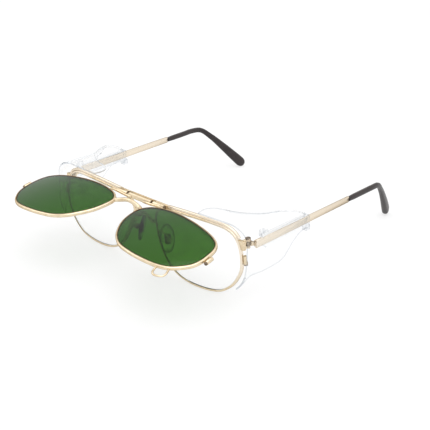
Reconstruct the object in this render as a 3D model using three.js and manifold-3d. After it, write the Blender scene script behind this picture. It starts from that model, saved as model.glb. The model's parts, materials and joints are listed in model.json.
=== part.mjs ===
// Tinted safety glasses: a wire spectacle frame with clear lenses and clear side shields, and a
// second front with green lenses that flips up on a central hinge above the brow bar.
// Millimetres, +Z up, the front of the glasses towards -Y and the wearer's left towards +X.

import * as THREE from 'three';
import { mergeVertices } from 'three/addons/utils/BufferGeometryUtils.js';
import Module from 'manifold-3d';

const wasm = await Module();
wasm.setup();

// Clear lenses
const LENS_WIDTH = 54.7;
const LENS_HEIGHT = 36.3;
const BRIDGE_WIDTH = 15.8;
const LENS_RADIUS = 140;
const WRAP_ANGLE = 2.5;
const CLEAR_LENS_THICKNESS = 1.7;

// Eye wire that holds each lens in a groove
const RIM_WALL = 0.65;
const RIM_DEPTH = 1.9;
const RIM_CHAMFER = 0.3;
const GROOVE_DEPTH = 0.5;
const LENS_FIT = 0.15;

// Green flip lenses
const GREEN_WIDTH = 54.2;
const GREEN_HEIGHT = 35.3;
const GREEN_BRIDGE_WIDTH = 18.3;
const GREEN_LENS_THICKNESS = 1.6;
const FLIP_RAISE_ANGLE = 79.5;
const FLIP_LENS_DROP = 3.7;
const FLIP_LENS_FORWARD = 3.05;

// Flip hinge on the brow bar
const FLIP_AXIS_ABOVE_BAR = 0.5;
const FLIP_AXIS_FORWARD = 3.06;
const FLIP_KNUCKLE_RADIUS = 1.3;
const FLIP_PIN_RADIUS = 0.55;
const FLIP_BARREL_LENGTH = 16.4;
const FLIP_KNUCKLE_LENGTH = 7.6;
const FLIP_WASHER_THICKNESS = 0.4;
const FLIP_PLATE_THICKNESS = 0.7;
const FLIP_ARM_RADIUS = 0.7;
const FLIP_BRIDGE_RADIUS = 1.05;
const FLIP_BRIDGE_RISE = 1.3;
const FLIP_BRIDGE_BOW = 1.8;

// Brow bar, nose bridge and end pieces
const BROW_BAR_HEIGHT = 1.1;
const BROW_BAR_DEPTH = 1.4;
const NOSE_BRIDGE_RADIUS = 0.95;
const NOSE_BRIDGE_RISE = 2.4;
const END_PIECE_REACH = 2.6;
const END_PIECE_HEIGHT = 4.6;
const END_PIECE_THICKNESS = 1.6;
const END_PIECE_CORNER = 1.3;

// Rim closing barrels and their screws
const LOCK_RADIUS = 1.05;
const LOCK_LENGTH = 4.2;
const LOCK_SCREW_RADIUS = 0.45;
const SCREW_HEAD_HEIGHT = 0.5;

// Temple hinge
const HINGE_KNUCKLE_RADIUS = 1.3;
const HINGE_KNUCKLE_HEIGHT = 1.4;
const HINGE_SCREW_RADIUS = 0.55;
const HINGE_INSET = 2.9;
const HINGE_BACK = 2.8;
const HINGE_CANT_LEFT = 5;
const HINGE_CANT_RIGHT = 0;
const LEAF_LENGTH = 5;
const LEAF_THICKNESS = 0.8;

// Temples and tips
const TEMPLE_THICKNESS = 1.2;
const TEMPLE_FRONT_HEIGHT = 4;
const TEMPLE_REAR_HEIGHT = 3.4;
const TEMPLE_CHAMFER = 0.3;
const TEMPLE_SLOPE = 0.3;
const TIP_START = 75.5;
const CORE_LENGTH = 12;
const CORE_HEIGHT = 2;
const CORE_THICKNESS = 0.9;
const TIP_WIDTH = 2.3;
const TIP_HEIGHT = 3;
const TIP_END_WIDTH = 2.7;
const TIP_END_HEIGHT = 5;
const TIP_BEND_START = 100;
const TIP_BACK = 132;
const TIP_INWARD = 12;
const TIP_BEND_SOFTNESS = 0.22;
const TIP_FLARE_START = 0.35;
const TIP_FLARE_END = 0.95;
const TIP_ROUND_START = 0.94;
const TIP_ROUND_DEPTH = 0.85;

// Side shields, measured from the temple hinge
const SHIELD_THICKNESS = 1;
const SHIELD_LENGTH = 40.5;
const SHIELD_LOWER_REACH = 7.2;
const SHIELD_CORNER_REACH = 6.2;
const SHIELD_FLAP_FRONT = 7.2;
const SHIELD_BELOW = 14.9;
const SHIELD_LOWER_END = 22;
const SHIELD_CORNER_RADIUS = 11;
const SHIELD_FLAP_REACH = 31.5;
const SHIELD_FLAP_CLEARANCE = 0.5;
const SHIELD_TUCK = 6;
const SLEEVE_START = 7.6;
const SLEEVE_WALL = 0.8;
const SLEEVE_TAB_LENGTH = 3.2;
const SLEEVE_TAB_RISE = 2.7;
const SLEEVE_TAB_LEAD = 2.2;
const SLEEVE_LUG_LENGTH = 3;
const SLEEVE_LUG_DROP = 2.4;
const SLEEVE_LUG_TAIL = 1.2;

// Nose pads
const PAD_WIDTH = 7.6;
const PAD_HEIGHT = 15;
const PAD_THICKNESS = 2.4;
const PAD_INSET = 3.6;
const PAD_BEHIND = 6.8;
const PAD_RISE = 15.6;
const PAD_SPLAY = 30;
const PAD_TILT = 12;
const PAD_ARM_RADIUS = 0.55;
const PAD_PIN_RADIUS = 0.36;
const FORK_WIDTH = 2.5;
const TONGUE_WIDTH = 0.8;
const PAD_MOUNT_DEPTH = 0.6;

// Lift loop under the left green lens
const LOOP_WIDTH = 6.8;
const LOOP_DROP = 5.8;
const LOOP_RADIUS = 0.5;
const LOOP_CORNER_SHARE = 0.68;
const LOOP_CORNER_INSET = 0.2;

// Clearances and faceting
const SOLDER_GAP = 0.15;
const RUN_GAP = 0.25;
const SLIDE_GAP = 0.3;
const EYE_STEPS = 44;
const OUTLINE_SAMPLES = 400;
const PAD_STEPS = 20;
const TIP_STATIONS = 9;
const TIP_STEPS = 20;
const SHIELD_ROWS = 18;
const WIRE_SIDES = 8;
const PIN_SIDES = 10;

// Eye outlines as shares of the lens box, from the nose round the bottom to the temple and back.
const CLEAR_OUTLINE = [
  [0, 0.78], [0.017, 0.65], [0.05, 0.476], [0.108, 0.3], [0.18, 0.157], [0.3, 0.048], [0.429, 0.006],
  [0.56, 0], [0.685, 0.016], [0.776, 0.05], [0.849, 0.117], [0.916, 0.21], [0.969, 0.34], [0.998, 0.457],
  [1, 0.595], [0.985, 0.732], [0.952, 0.85], [0.906, 0.926], [0.829, 0.976], [0.704, 0.996], [0.55, 1],
  [0.396, 0.993], [0.262, 0.978], [0.156, 0.957], [0.065, 0.9],
];
const GREEN_OUTLINE = [
  [0, 0.747], [0.03, 0.49], [0.112, 0.272], [0.18, 0.158], [0.28, 0.063], [0.412, 0.016], [0.552, 0],
  [0.742, 0.024], [0.852, 0.088], [0.927, 0.192], [0.98, 0.311], [1, 0.44], [0.997, 0.589], [0.987, 0.688],
  [0.952, 0.797], [0.892, 0.861], [0.802, 0.908], [0.652, 0.953], [0.492, 0.985], [0.312, 1], [0.172, 0.983],
  [0.072, 0.936], [0.012, 0.846],
];

// Places on the outlines, as shares of the lens box, where other pieces meet the rims.
const BAR_START = [0.156, 0.957];
const BAR_END = [0.965, 0.795];
const BROW_PEAK = [0.7, 1];
const END_PORT = [0.966, 0.79];
const BRIDGE_ROOT = [0.005, 0.7];
const RIM_LOCK_PLACE = [1, 0.605];
const PAD_ARM_ROOT = [0.035, 0.555];
const FLIP_ARM_ROOT = [0.172, 0.983];
const FLIP_BRIDGE_ROOT = [0.012, 0.846];
const FLIP_LOCK_PLACE = [1, 0.52];
const LOOP_PLACE = [0.8, 0.055];

const radians = THREE.MathUtils.degToRad;
const RIM_OUTER = LENS_FIT + RIM_WALL;

function vec(x, y, z) {
  return new THREE.Vector3(x, y, z);
}

// Materials

function finish(color, roughness, metalness, opacity = 1) {
  return new THREE.MeshStandardMaterial({ color, roughness, metalness, opacity, transparent: opacity < 1 });
}

const GOLD = finish('#c8a45a', 0.25, 1);
const STEEL = finish('#8d8a84', 0.35, 1);
const CLEAR = finish('#e8efec', 0.05, 0, 0.25);
const GREEN = finish('#3f6b2f', 0.05, 0, 0.85);
const SHIELD = finish('#dfe6e4', 0.1, 0, 0.35);
const TIP = finish('#3a302c', 0.4, 0);
const PAD = finish('#e6e2d8', 0.25, 0, 0.6);

// Solid helpers

function geometryFrom(points, faces) {
  const volume = faces.reduce((sum, [a, b, c]) => (
    sum + points[a].dot(vec(0, 0, 0).crossVectors(points[b], points[c]))), 0);
  const outward = volume < 0 ? faces.map(([a, b, c]) => [a, c, b]) : faces;
  const geometry = new THREE.BufferGeometry().setFromPoints(points);
  geometry.setIndex(outward.flat());
  return geometry;
}

function capFaces(ring) {
  const normal = vec(0, 0, 0);
  ring.forEach((point, i) => {
    const next = ring[(i + 1) % ring.length];
    normal.add(vec(0, 0, 0).crossVectors(point, next));
  });
  normal.normalize();
  const across = vec(0, 0, 0).subVectors(ring[1], ring[0]).normalize();
  const up = vec(0, 0, 0).crossVectors(normal, across);
  const flat = ring.map((point) => new THREE.Vector2(point.dot(across), point.dot(up)));
  return THREE.ShapeUtils.triangulateShape(flat, []);
}

// Skin over a row of rings with equal counts: a closed loop of rings, or a run with two caps.
function loft(rings, loop = false) {
  const count = rings[0].length;
  const faces = [];
  const spans = loop ? rings.length : rings.length - 1;
  for (let ring = 0; ring < spans; ring += 1) {
    const here = ring * count;
    const there = ((ring + 1) % rings.length) * count;
    for (let i = 0; i < count; i += 1) {
      const j = (i + 1) % count;
      faces.push([here + i, here + j, there + j], [here + i, there + j, there + i]);
    }
  }
  if (!loop) {
    const end = (rings.length - 1) * count;
    capFaces(rings[0]).forEach(([a, b, c]) => faces.push([c, b, a]));
    capFaces(rings.at(-1)).forEach(([a, b, c]) => faces.push([end + a, end + b, end + c]));
  }
  return geometryFrom(rings.flat(), faces);
}

function toSolid(geometry) {
  const bare = geometry.clone();
  bare.deleteAttribute('normal');
  bare.deleteAttribute('uv');
  const merged = mergeVertices(bare, 1e-4);
  return new wasm.Manifold(new wasm.Mesh({
    numProp: 3,
    vertProperties: Float32Array.from(merged.attributes.position.array),
    triVerts: Uint32Array.from(merged.index.array),
  }));
}

function toGeometry(solid) {
  const mesh = solid.getMesh();
  const geometry = new THREE.BufferGeometry();
  geometry.setAttribute('position', new THREE.BufferAttribute(mesh.vertProperties, 3));
  geometry.setIndex(new THREE.BufferAttribute(mesh.triVerts, 1));
  return geometry;
}

function join(first, ...others) {
  return toGeometry(others.reduce((solid, other) => solid.add(toSolid(other)), toSolid(first)));
}

function cut(body, ...tools) {
  return toGeometry(tools.reduce((solid, tool) => solid.subtract(toSolid(tool)), toSolid(body)));
}

function block([x0, x1], [y0, y1], [z0, z1]) {
  const box = new THREE.BoxGeometry(x1 - x0, y1 - y0, z1 - z0);
  return box.translate((x0 + x1) / 2, (y0 + y1) / 2, (z0 + z1) / 2);
}

// Round bar between two points.
function rod(from, to, radius, sides = PIN_SIDES) {
  const axis = vec(0, 0, 0).subVectors(to, from);
  const bar = new THREE.CylinderGeometry(radius, radius, axis.length(), sides);
  const turn = new THREE.Quaternion().setFromUnitVectors(vec(0, 1, 0), axis.clone().normalize());
  return bar.applyQuaternion(turn).translate(...from.clone().add(to).multiplyScalar(0.5).toArray());
}

// Screw with a flat head, its shank running from the underside of the head to the tip.
function screw(under, tip, radius, headRadius) {
  const up = vec(0, 0, 0).subVectors(under, tip).normalize();
  const top = under.clone().addScaledVector(up, SCREW_HEAD_HEIGHT);
  const root = under.clone().addScaledVector(up, SCREW_HEAD_HEIGHT / 2);
  return join(rod(tip, root, radius), rod(under, top, headRadius));
}

function roundSection(radius, sides = WIRE_SIDES) {
  return Array.from({ length: sides }, (_, i) => {
    const angle = (i / sides) * 2 * Math.PI;
    return [radius * Math.cos(angle), radius * Math.sin(angle)];
  });
}

// Rectangle with cut corners, width across and height up.
function barSection(width, height, chamfer) {
  const w = width / 2;
  const h = height / 2;
  const c = chamfer;
  return [[w, c - h], [w, h - c], [w - c, h], [c - w, h], [-w, h - c], [-w, c - h], [c - w, -h], [w - c, -h]];
}

// Sweep of a section along a smooth curve; the reference direction keeps the section level.
function sweep(points, steps, reference, sectionAt) {
  const curve = new THREE.CatmullRomCurve3(points);
  const rings = [];
  for (let i = 0; i <= steps; i += 1) {
    const share = i / steps;
    const here = curve.getPointAt(share);
    const ahead = curve.getTangentAt(share);
    const across = vec(0, 0, 0).crossVectors(reference, ahead).normalize();
    const up = vec(0, 0, 0).crossVectors(ahead, across);
    rings.push(sectionAt(share).map(([a, b]) => (
      here.clone().addScaledVector(across, a).addScaledVector(up, b))));
  }
  return loft(rings);
}

function wire(points, radius, steps, reference = vec(0, 1, 0)) {
  return sweep(points, steps, reference, () => roundSection(radius));
}

// Closed shell of even thickness over a grid of points in rows.
function shell(grid, thickness) {
  const rows = grid.length;
  const columns = grid[0].length;
  const at = (r, c) => grid[Math.min(Math.max(r, 0), rows - 1)][Math.min(Math.max(c, 0), columns - 1)];
  const skins = [0.5, -0.5].map((share) => grid.flatMap((row, r) => row.map((point, c) => {
    const along = vec(0, 0, 0).subVectors(at(r + 1, c), at(r - 1, c));
    const across = vec(0, 0, 0).subVectors(at(r, c + 1), at(r, c - 1));
    const normal = vec(0, 0, 0).crossVectors(along, across).normalize();
    return point.clone().addScaledVector(normal, share * thickness);
  })));
  const back = rows * columns;
  const faces = [];
  const quad = (a, b, c, d) => faces.push([a, b, c], [a, c, d]);
  for (let r = 0; r + 1 < rows; r += 1) {
    for (let c = 0; c + 1 < columns; c += 1) {
      const a = r * columns + c;
      quad(a, a + columns, a + columns + 1, a + 1);
      quad(back + a, back + a + 1, back + a + columns + 1, back + a + columns);
    }
  }
  const edge = [];
  for (let c = 0; c + 1 < columns; c += 1) edge.push([c, c + 1]);
  for (let r = 0; r + 1 < rows; r += 1) edge.push([(r + 1) * columns - 1, (r + 2) * columns - 1]);
  const last = (rows - 1) * columns;
  for (let c = columns - 1; c > 0; c -= 1) edge.push([last + c, last + c - 1]);
  for (let r = rows - 1; r > 0; r -= 1) edge.push([r * columns, (r - 1) * columns]);
  edge.forEach(([a, b]) => quad(a, b, back + b, back + a));
  return geometryFrom(skins.flat(), faces);
}

// One eye: an outline on the lens sphere, turned back by the wrap and set beside the nose.
class Eye {
  constructor(outline, width, height, bridge, forward, middle) {
    this.width = width;
    this.height = height;
    const points = outline.map(([across, up]) => vec((across - 0.5) * width, 0, (up - 0.5) * height));
    this.curve = new THREE.CatmullRomCurve3(points, true);
    this.frame = new THREE.Matrix4().makeRotationZ(radians(WRAP_ANGLE));
    this.frame.setPosition((bridge + width) / 2, forward, middle);
  }

  outward(s) {
    const along = this.curve.getTangentAt(s);
    return vec(along.z, 0, -along.x);
  }

  // Point on the outline, moved out from it, behind the lens surface and in towards the middle.
  place(s, out = 0, behind = 0, share = 1) {
    const point = this.curve.getPointAt(s).addScaledVector(this.outward(s), out).multiplyScalar(share);
    point.y = (point.x * point.x + point.z * point.z) / (2 * LENS_RADIUS) + behind;
    return point.applyMatrix4(this.frame);
  }

  normal(s) {
    return this.outward(s).transformDirection(this.frame);
  }

  tangent(s) {
    return this.curve.getTangentAt(s).transformDirection(this.frame);
  }

  // Place along the outline nearest to a share of the lens box.
  nearest([across, up]) {
    const target = vec((across - 0.5) * this.width, 0, (up - 0.5) * this.height);
    const samples = Array.from({ length: OUTLINE_SAMPLES }, (_, i) => i / OUTLINE_SAMPLES);
    const distance = (s) => this.curve.getPointAt(s).distanceTo(target);
    return samples.reduce((best, s) => (distance(s) < distance(best) ? s : best));
  }

  loop(out, behind, share = 1) {
    return Array.from({ length: EYE_STEPS }, (_, i) => this.place(i / EYE_STEPS, out, behind, share));
  }

  rim() {
    const half = RIM_DEPTH / 2;
    const lip = LENS_FIT - GROOVE_DEPTH;
    const section = [
      [RIM_OUTER, RIM_CHAMFER - half], [RIM_OUTER, half - RIM_CHAMFER], [RIM_OUTER - RIM_CHAMFER, half],
      [lip, half], [LENS_FIT, 0], [lip, -half], [RIM_OUTER - RIM_CHAMFER, -half],
    ];
    const rings = Array.from({ length: EYE_STEPS }, (_, i) => (
      section.map(([out, behind]) => this.place(i / EYE_STEPS, out, behind))));
    return loft(rings, true);
  }

  // Lens with a bevelled edge that sits in the groove.
  lens(thickness) {
    const half = thickness / 2;
    const bevel = -GROOVE_DEPTH * (thickness / RIM_DEPTH);
    return loft([
      this.loop(bevel, half, 0.5), this.loop(bevel, half),
      this.loop(0, 0),
      this.loop(bevel, -half), this.loop(bevel, -half, 0.5),
    ]);
  }

  // Everything inside the rim's outer wall and a gap, to cope what is soldered on.
  plug(gap, reach) {
    return loft([this.loop(RIM_OUTER + gap, -reach), this.loop(RIM_OUTER + gap, reach)]);
  }

  // Closing barrel on the rim's outer wall, with the screw along it.
  lock(s) {
    const middle = this.place(s, RIM_OUTER + SOLDER_GAP + LOCK_RADIUS);
    const along = this.tangent(s);
    const end = (share) => middle.clone().addScaledVector(along, share * LOCK_LENGTH);
    const bore = LOCK_SCREW_RADIUS + SOLDER_GAP;
    const barrel = cut(
      rod(end(-0.5), end(0.5), LOCK_RADIUS),
      rod(end(-0.6), end(0.6), bore),
      this.plug(SOLDER_GAP, RIM_DEPTH * 2),
    );
    const under = end(-0.5).addScaledVector(along, -SOLDER_GAP);
    return { barrel, screw: screw(under, end(0.5), LOCK_SCREW_RADIUS, LOCK_RADIUS * 0.85) };
  }
}

// Derived places of the front

const eyeMiddle = RIM_OUTER + LENS_HEIGHT / 2;
const clearEye = new Eye(CLEAR_OUTLINE, LENS_WIDTH, LENS_HEIGHT, BRIDGE_WIDTH, 0, eyeMiddle);
const barOffset = RIM_OUTER + SOLDER_GAP + BROW_BAR_HEIGHT / 2;
const barInner = clearEye.place(clearEye.nearest(BAR_START), barOffset);
const flipAxis = vec(0, barInner.y - FLIP_AXIS_FORWARD, barInner.z + FLIP_AXIS_ABOVE_BAR);
const endPort = clearEye.place(clearEye.nearest(END_PORT), RIM_OUTER);
const endOuter = endPort.x + END_PIECE_REACH;
const endBack = endPort.y + END_PIECE_THICKNESS / 2;
const hinge = vec(endOuter - HINGE_KNUCKLE_RADIUS, endBack + HINGE_BACK, endPort.z);
const knucklePitch = HINGE_KNUCKLE_HEIGHT + SOLDER_GAP;

const greenMiddle = -(FLIP_LENS_DROP + GREEN_HEIGHT / 2);
const greenEye = new Eye(
  GREEN_OUTLINE, GREEN_WIDTH, GREEN_HEIGHT, GREEN_BRIDGE_WIDTH, -FLIP_LENS_FORWARD, greenMiddle);

function mirrored(points) {
  const across = points.map((point) => vec(-point.x, point.y, point.z)).reverse();
  const middle = points[0].x === 0 ? points.slice(1) : points;
  return [...across, ...middle];
}

// Front

// Bar soldered along the tops of both rims, from end piece to end piece.
function browBar() {
  const first = Math.floor(clearEye.nearest(BAR_END) * EYE_STEPS);
  const last = Math.round(clearEye.nearest(BAR_START) * EYE_STEPS);
  const section = barSection(BROW_BAR_HEIGHT, BROW_BAR_DEPTH, RIM_CHAMFER);
  const half = Array.from({ length: last - first + 1 }, (_, i) => (
    section.map(([out, behind]) => clearEye.place((last - i) / EYE_STEPS, barOffset + out, behind))));
  const other = half.map((ring) => ring.map((point) => vec(-point.x, point.y, point.z))).reverse();
  const bar = loft([...other, ...half]);
  const reach = endOuter + END_PIECE_REACH;
  const top = hinge.z + END_PIECE_HEIGHT / 2 + SOLDER_GAP;
  const ends = [[-reach, -BRIDGE_WIDTH], [BRIDGE_WIDTH, reach]];
  return cut(bar, ...ends.map((across) => block(across, [-reach, reach], [-reach, top])));
}

function noseBridge() {
  const s = clearEye.nearest(BRIDGE_ROOT);
  const root = clearEye.place(s, RIM_OUTER + SOLDER_GAP);
  const bend = root.clone().addScaledVector(clearEye.normal(s), BRIDGE_WIDTH * 0.12);
  const crown = vec(0, root.y - NOSE_BRIDGE_RADIUS, root.z + NOSE_BRIDGE_RISE);
  return wire(mirrored([crown, bend, root]), NOSE_BRIDGE_RADIUS, 16);
}

function hingeFrame(cant) {
  const frame = new THREE.Matrix4().makeRotationX(radians(cant));
  return frame.setPosition(hinge);
}

// End piece: a tab out from the rim that carries the two outer hinge knuckles behind it.
function endPiece(cant) {
  const front = endPort.y - END_PIECE_THICKNESS / 2;
  const inner = endPort.x - END_PIECE_REACH;
  const corner = END_PIECE_CORNER;
  const plan = new THREE.Shape();
  plan.moveTo(inner, front);
  plan.lineTo(endOuter - corner, front);
  plan.absarc(endOuter - corner, front + corner, corner, -Math.PI / 2, 0, false);
  plan.lineTo(endOuter, endBack);
  plan.lineTo(inner, endBack);
  const form = { depth: END_PIECE_HEIGHT, bevelEnabled: false, curveSegments: 4 };
  const arm = new THREE.ExtrudeGeometry(plan, form);
  arm.translate(0, 0, hinge.z - END_PIECE_HEIGHT / 2);
  const knuckles = [1, -1].flatMap((way) => {
    const near = way * (knucklePitch - HINGE_KNUCKLE_HEIGHT / 2);
    const far = way * (knucklePitch + HINGE_KNUCKLE_HEIGHT / 2);
    const heights = [Math.min(near, far), Math.max(near, far)];
    const web = HINGE_KNUCKLE_RADIUS * 0.6;
    return [
      rod(vec(0, 0, near), vec(0, 0, far), HINGE_KNUCKLE_RADIUS),
      block([-web, web], [endPort.y - hinge.y, 0], heights),
    ];
  });
  const reach = knucklePitch * 2;
  const bore = rod(vec(0, 0, -reach), vec(0, 0, reach), HINGE_SCREW_RADIUS + SOLDER_GAP);
  const frame = hingeFrame(cant);
  const whole = join(arm, ...knuckles.map((knuckle) => knuckle.applyMatrix4(frame)));
  return cut(whole, bore.applyMatrix4(frame), clearEye.plug(SOLDER_GAP, END_PIECE_REACH * 2));
}

function hingeScrew(cant) {
  const half = knucklePitch + HINGE_KNUCKLE_HEIGHT / 2;
  const under = vec(0, 0, half + SOLDER_GAP);
  const body = screw(under, vec(0, 0, -half), HINGE_SCREW_RADIUS, HINGE_KNUCKLE_RADIUS * 0.9);
  return body.applyMatrix4(hingeFrame(cant));
}

// Flip hinge

const knuckleStart = FLIP_BARREL_LENGTH / 2 + FLIP_WASHER_THICKNESS + 2 * SOLDER_GAP;
const knuckleEnd = knuckleStart + FLIP_KNUCKLE_LENGTH;
const flipBore = FLIP_PIN_RADIUS + SOLDER_GAP;

// Plate on the front of the brow bar with a fixed knuckle towards each end.
function flipHingePlate() {
  const back = barInner.y - BROW_BAR_DEPTH / 2 - SOLDER_GAP;
  const depth = [back - FLIP_PLATE_THICKNESS, back];
  const heights = [barInner.z - BROW_BAR_HEIGHT / 2, flipAxis.z + FLIP_KNUCKLE_RADIUS * 0.7];
  const plate = block([-knuckleEnd, knuckleEnd], depth, heights);
  const knuckles = [-1, 1].flatMap((way) => {
    const ends = [way * knuckleStart, way * knuckleEnd].sort((a, b) => a - b);
    const web = [flipAxis.z - FLIP_KNUCKLE_RADIUS * 0.6, flipAxis.z + FLIP_KNUCKLE_RADIUS * 0.6];
    return [
      rod(vec(ends[0], flipAxis.y, flipAxis.z), vec(ends[1], flipAxis.y, flipAxis.z), FLIP_KNUCKLE_RADIUS),
      block(ends, [flipAxis.y, back - FLIP_PLATE_THICKNESS / 2], web),
    ];
  });
  const reach = knuckleEnd * 2;
  const bore = rod(vec(-reach, flipAxis.y, flipAxis.z), vec(reach, flipAxis.y, flipAxis.z), flipBore);
  return cut(join(plate, ...knuckles), bore);
}

function flipHingePin() {
  const under = vec(knuckleEnd + SOLDER_GAP, flipAxis.y, flipAxis.z);
  const tip = vec(-knuckleEnd, flipAxis.y, flipAxis.z);
  return screw(under, tip, FLIP_PIN_RADIUS, FLIP_KNUCKLE_RADIUS * 0.8);
}

function flipWasher(way) {
  const near = way * (FLIP_BARREL_LENGTH / 2 + SOLDER_GAP);
  const far = near + way * FLIP_WASHER_THICKNESS;
  const ring = rod(vec(near, 0, 0), vec(far, 0, 0), FLIP_KNUCKLE_RADIUS);
  return cut(ring, rod(vec(near - way, 0, 0), vec(far + way, 0, 0), flipBore));
}

// Moving barrel with a short leaf and an arm down to each flip rim.
function flipBarrel() {
  const half = FLIP_BARREL_LENGTH / 2;
  const barrel = rod(vec(-half, 0, 0), vec(half, 0, 0), FLIP_KNUCKLE_RADIUS);
  const s = greenEye.nearest(FLIP_ARM_ROOT);
  const root = greenEye.place(s, RIM_OUTER + SOLDER_GAP);
  const lift = root.clone().addScaledVector(greenEye.normal(s), FLIP_ARM_RADIUS * 1.2);
  const under = FLIP_KNUCKLE_RADIUS + FLIP_ARM_RADIUS + RUN_GAP;
  const shoulder = vec(half, -FLIP_ARM_RADIUS, -under);
  const arms = [1, -1].map((way) => {
    const path = [vec(half * 0.5, -FLIP_ARM_RADIUS, -under), shoulder, lift, root];
    return wire(path.map((point) => vec(way * point.x, point.y, point.z)), FLIP_ARM_RADIUS, 10);
  });
  const leaf = block([-half, half], [-FLIP_ARM_RADIUS * 1.6, 0], [-under, 0]);
  const bore = rod(vec(-half * 2, 0, 0), vec(half * 2, 0, 0), flipBore);
  return cut(join(barrel, leaf, ...arms), bore);
}

// Arched wire between the two flip rims, level with the sides of the nose.
function flipBridge() {
  const s = greenEye.nearest(FLIP_BRIDGE_ROOT);
  const root = greenEye.place(s, RIM_OUTER + SOLDER_GAP);
  const bend = root.clone().addScaledVector(greenEye.normal(s), GREEN_BRIDGE_WIDTH * 0.1);
  const crown = vec(0, root.y - FLIP_BRIDGE_BOW, root.z + FLIP_BRIDGE_RISE);
  return wire(mirrored([crown, bend, root]), FLIP_BRIDGE_RADIUS, 16);
}

// Wire loop under one green lens for lifting the flip front with a fingertip.
function liftLoop() {
  const middle = greenEye.nearest(LOOP_PLACE);
  const around = greenEye.curve.getLength();
  const ends = [-0.5, 0.5].map((share) => {
    const s = middle + (share * (LOOP_WIDTH - 2 * LOOP_RADIUS)) / around;
    return { root: greenEye.place(s, RIM_OUTER + SOLDER_GAP), out: greenEye.normal(s) };
  });
  const down = greenEye.normal(middle);
  const legs = ends.map(({ root, out }) => root.clone().addScaledVector(out, LOOP_RADIUS));
  const corners = ends.map(({ root }) => root.clone().addScaledVector(down, LOOP_DROP * LOOP_CORNER_SHARE));
  const feet = ends.map(({ root }, i) => (
    root.clone().lerp(ends[1 - i].root, LOOP_CORNER_INSET).addScaledVector(down, LOOP_DROP - LOOP_RADIUS)));
  const path = [ends[0].root, legs[0], corners[0], ...feet, corners[1], legs[1], ends[1].root];
  return wire(path, LOOP_RADIUS, 22);
}

// Temple, in its own frame: the hinge at the origin and the bar along +Y

const templeMiddle = HINGE_INSET + TEMPLE_THICKNESS / 2;
const templeFront = HINGE_KNUCKLE_RADIUS + RUN_GAP * 2;

// Flat bar that tapers back to a slim core inside the tip.
function templeBar() {
  const ring = (y, width, height, chamfer) => barSection(width, height, chamfer).map(([x, z]) => (
    vec(templeMiddle + x, y, z)));
  const grip = SHIELD_LENGTH + SLEEVE_START;
  const heightAt = (y) => (
    TEMPLE_FRONT_HEIGHT + (TEMPLE_REAR_HEIGHT - TEMPLE_FRONT_HEIGHT) * Math.max(0, y / TIP_START));
  const bar = [templeFront, LEAF_LENGTH, grip, TIP_START - SLIDE_GAP].map((y) => (
    ring(y, TEMPLE_THICKNESS, heightAt(y), TEMPLE_CHAMFER)));
  const core = [TIP_START - SLIDE_GAP, TIP_START + CORE_LENGTH].map((y) => (
    ring(y, CORE_THICKNESS, CORE_HEIGHT, TEMPLE_CHAMFER / 2)));
  return loft([...bar, ...core]);
}

// Hinge leaf soldered inside the temple, with the middle knuckle.
function templeLeaf(cant) {
  const half = HINGE_KNUCKLE_HEIGHT / 2;
  const face = HINGE_INSET - SOLDER_GAP;
  const web = HINGE_KNUCKLE_RADIUS * 0.6;
  const turn = new THREE.Matrix4().makeRotationX(radians(cant + TEMPLE_SLOPE));
  const knuckle = join(
    rod(vec(0, 0, -half), vec(0, 0, half), HINGE_KNUCKLE_RADIUS),
    block([-web, face - LEAF_THICKNESS / 2], [0, templeFront + web], [-half, half]),
  ).applyMatrix4(turn);
  const along = [templeFront, templeFront + LEAF_LENGTH];
  const plate = block([face - LEAF_THICKNESS, face], along, [-half * 2, half * 2]);
  const bore = rod(vec(0, 0, -half * 4), vec(0, 0, half * 4), HINGE_SCREW_RADIUS + SOLDER_GAP);
  return cut(join(knuckle, plate), bore.applyMatrix4(turn));
}

// Ear tip that bends down and in, and widens to a rounded paddle.
function templeTip(drop) {
  const soft = TIP_BEND_SOFTNESS;
  const point = (y) => {
    const share = Math.max(0, (y - TIP_BEND_START) / (TIP_BACK - TIP_BEND_START));
    const fall = (Math.hypot(share, soft) - soft) / (Math.hypot(1, soft) - soft);
    return vec(templeMiddle - TIP_INWARD * share ** 1.2, y, -drop * fall);
  };
  const path = Array.from({ length: TIP_STATIONS }, (_, i) => (
    point(TIP_START + (TIP_BACK - TIP_START) * (i / (TIP_STATIONS - 1)))));
  const section = (share) => {
    const flare = THREE.MathUtils.smoothstep(share, TIP_FLARE_START, TIP_FLARE_END);
    const beyond = Math.max(0, (share - TIP_ROUND_START) / (1 - TIP_ROUND_START));
    const close = Math.sqrt(1 - TIP_ROUND_DEPTH * beyond ** 2);
    const width = THREE.MathUtils.lerp(TIP_WIDTH, TIP_END_WIDTH, flare) * close;
    const height = THREE.MathUtils.lerp(TIP_HEIGHT, TIP_END_HEIGHT, flare) * close;
    return barSection(width, height, width * 0.3);
  };
  const body = sweep(path, TIP_STEPS, vec(0, 0, 1), section);
  const w = CORE_THICKNESS / 2 + SLIDE_GAP / 2;
  const h = CORE_HEIGHT / 2 + SLIDE_GAP / 2;
  const socket = block(
    [templeMiddle - w, templeMiddle + w],
    [TIP_START - CORE_LENGTH, TIP_START + CORE_LENGTH + SLIDE_GAP],
    [-h, h],
  );
  return cut(body, socket);
}

// Side shield: a clear shell from under the eye, round the temple and over the brow bar, that narrows
// back to a sleeve on the temple. Each row of the shell runs from the lower edge up to the flap.
const browTop = clearEye.place(clearEye.nearest(BROW_PEAK), barOffset + BROW_BAR_HEIGHT / 2).z;
const shieldInner = HINGE_INSET + TEMPLE_THICKNESS + SLIDE_GAP + SOLDER_GAP;
const shieldTop = browTop + SHIELD_FLAP_CLEARANCE + SHIELD_THICKNESS / 2 - hinge.z;
const shieldShoulder = END_PIECE_HEIGHT / 2 + SLIDE_GAP;

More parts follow.
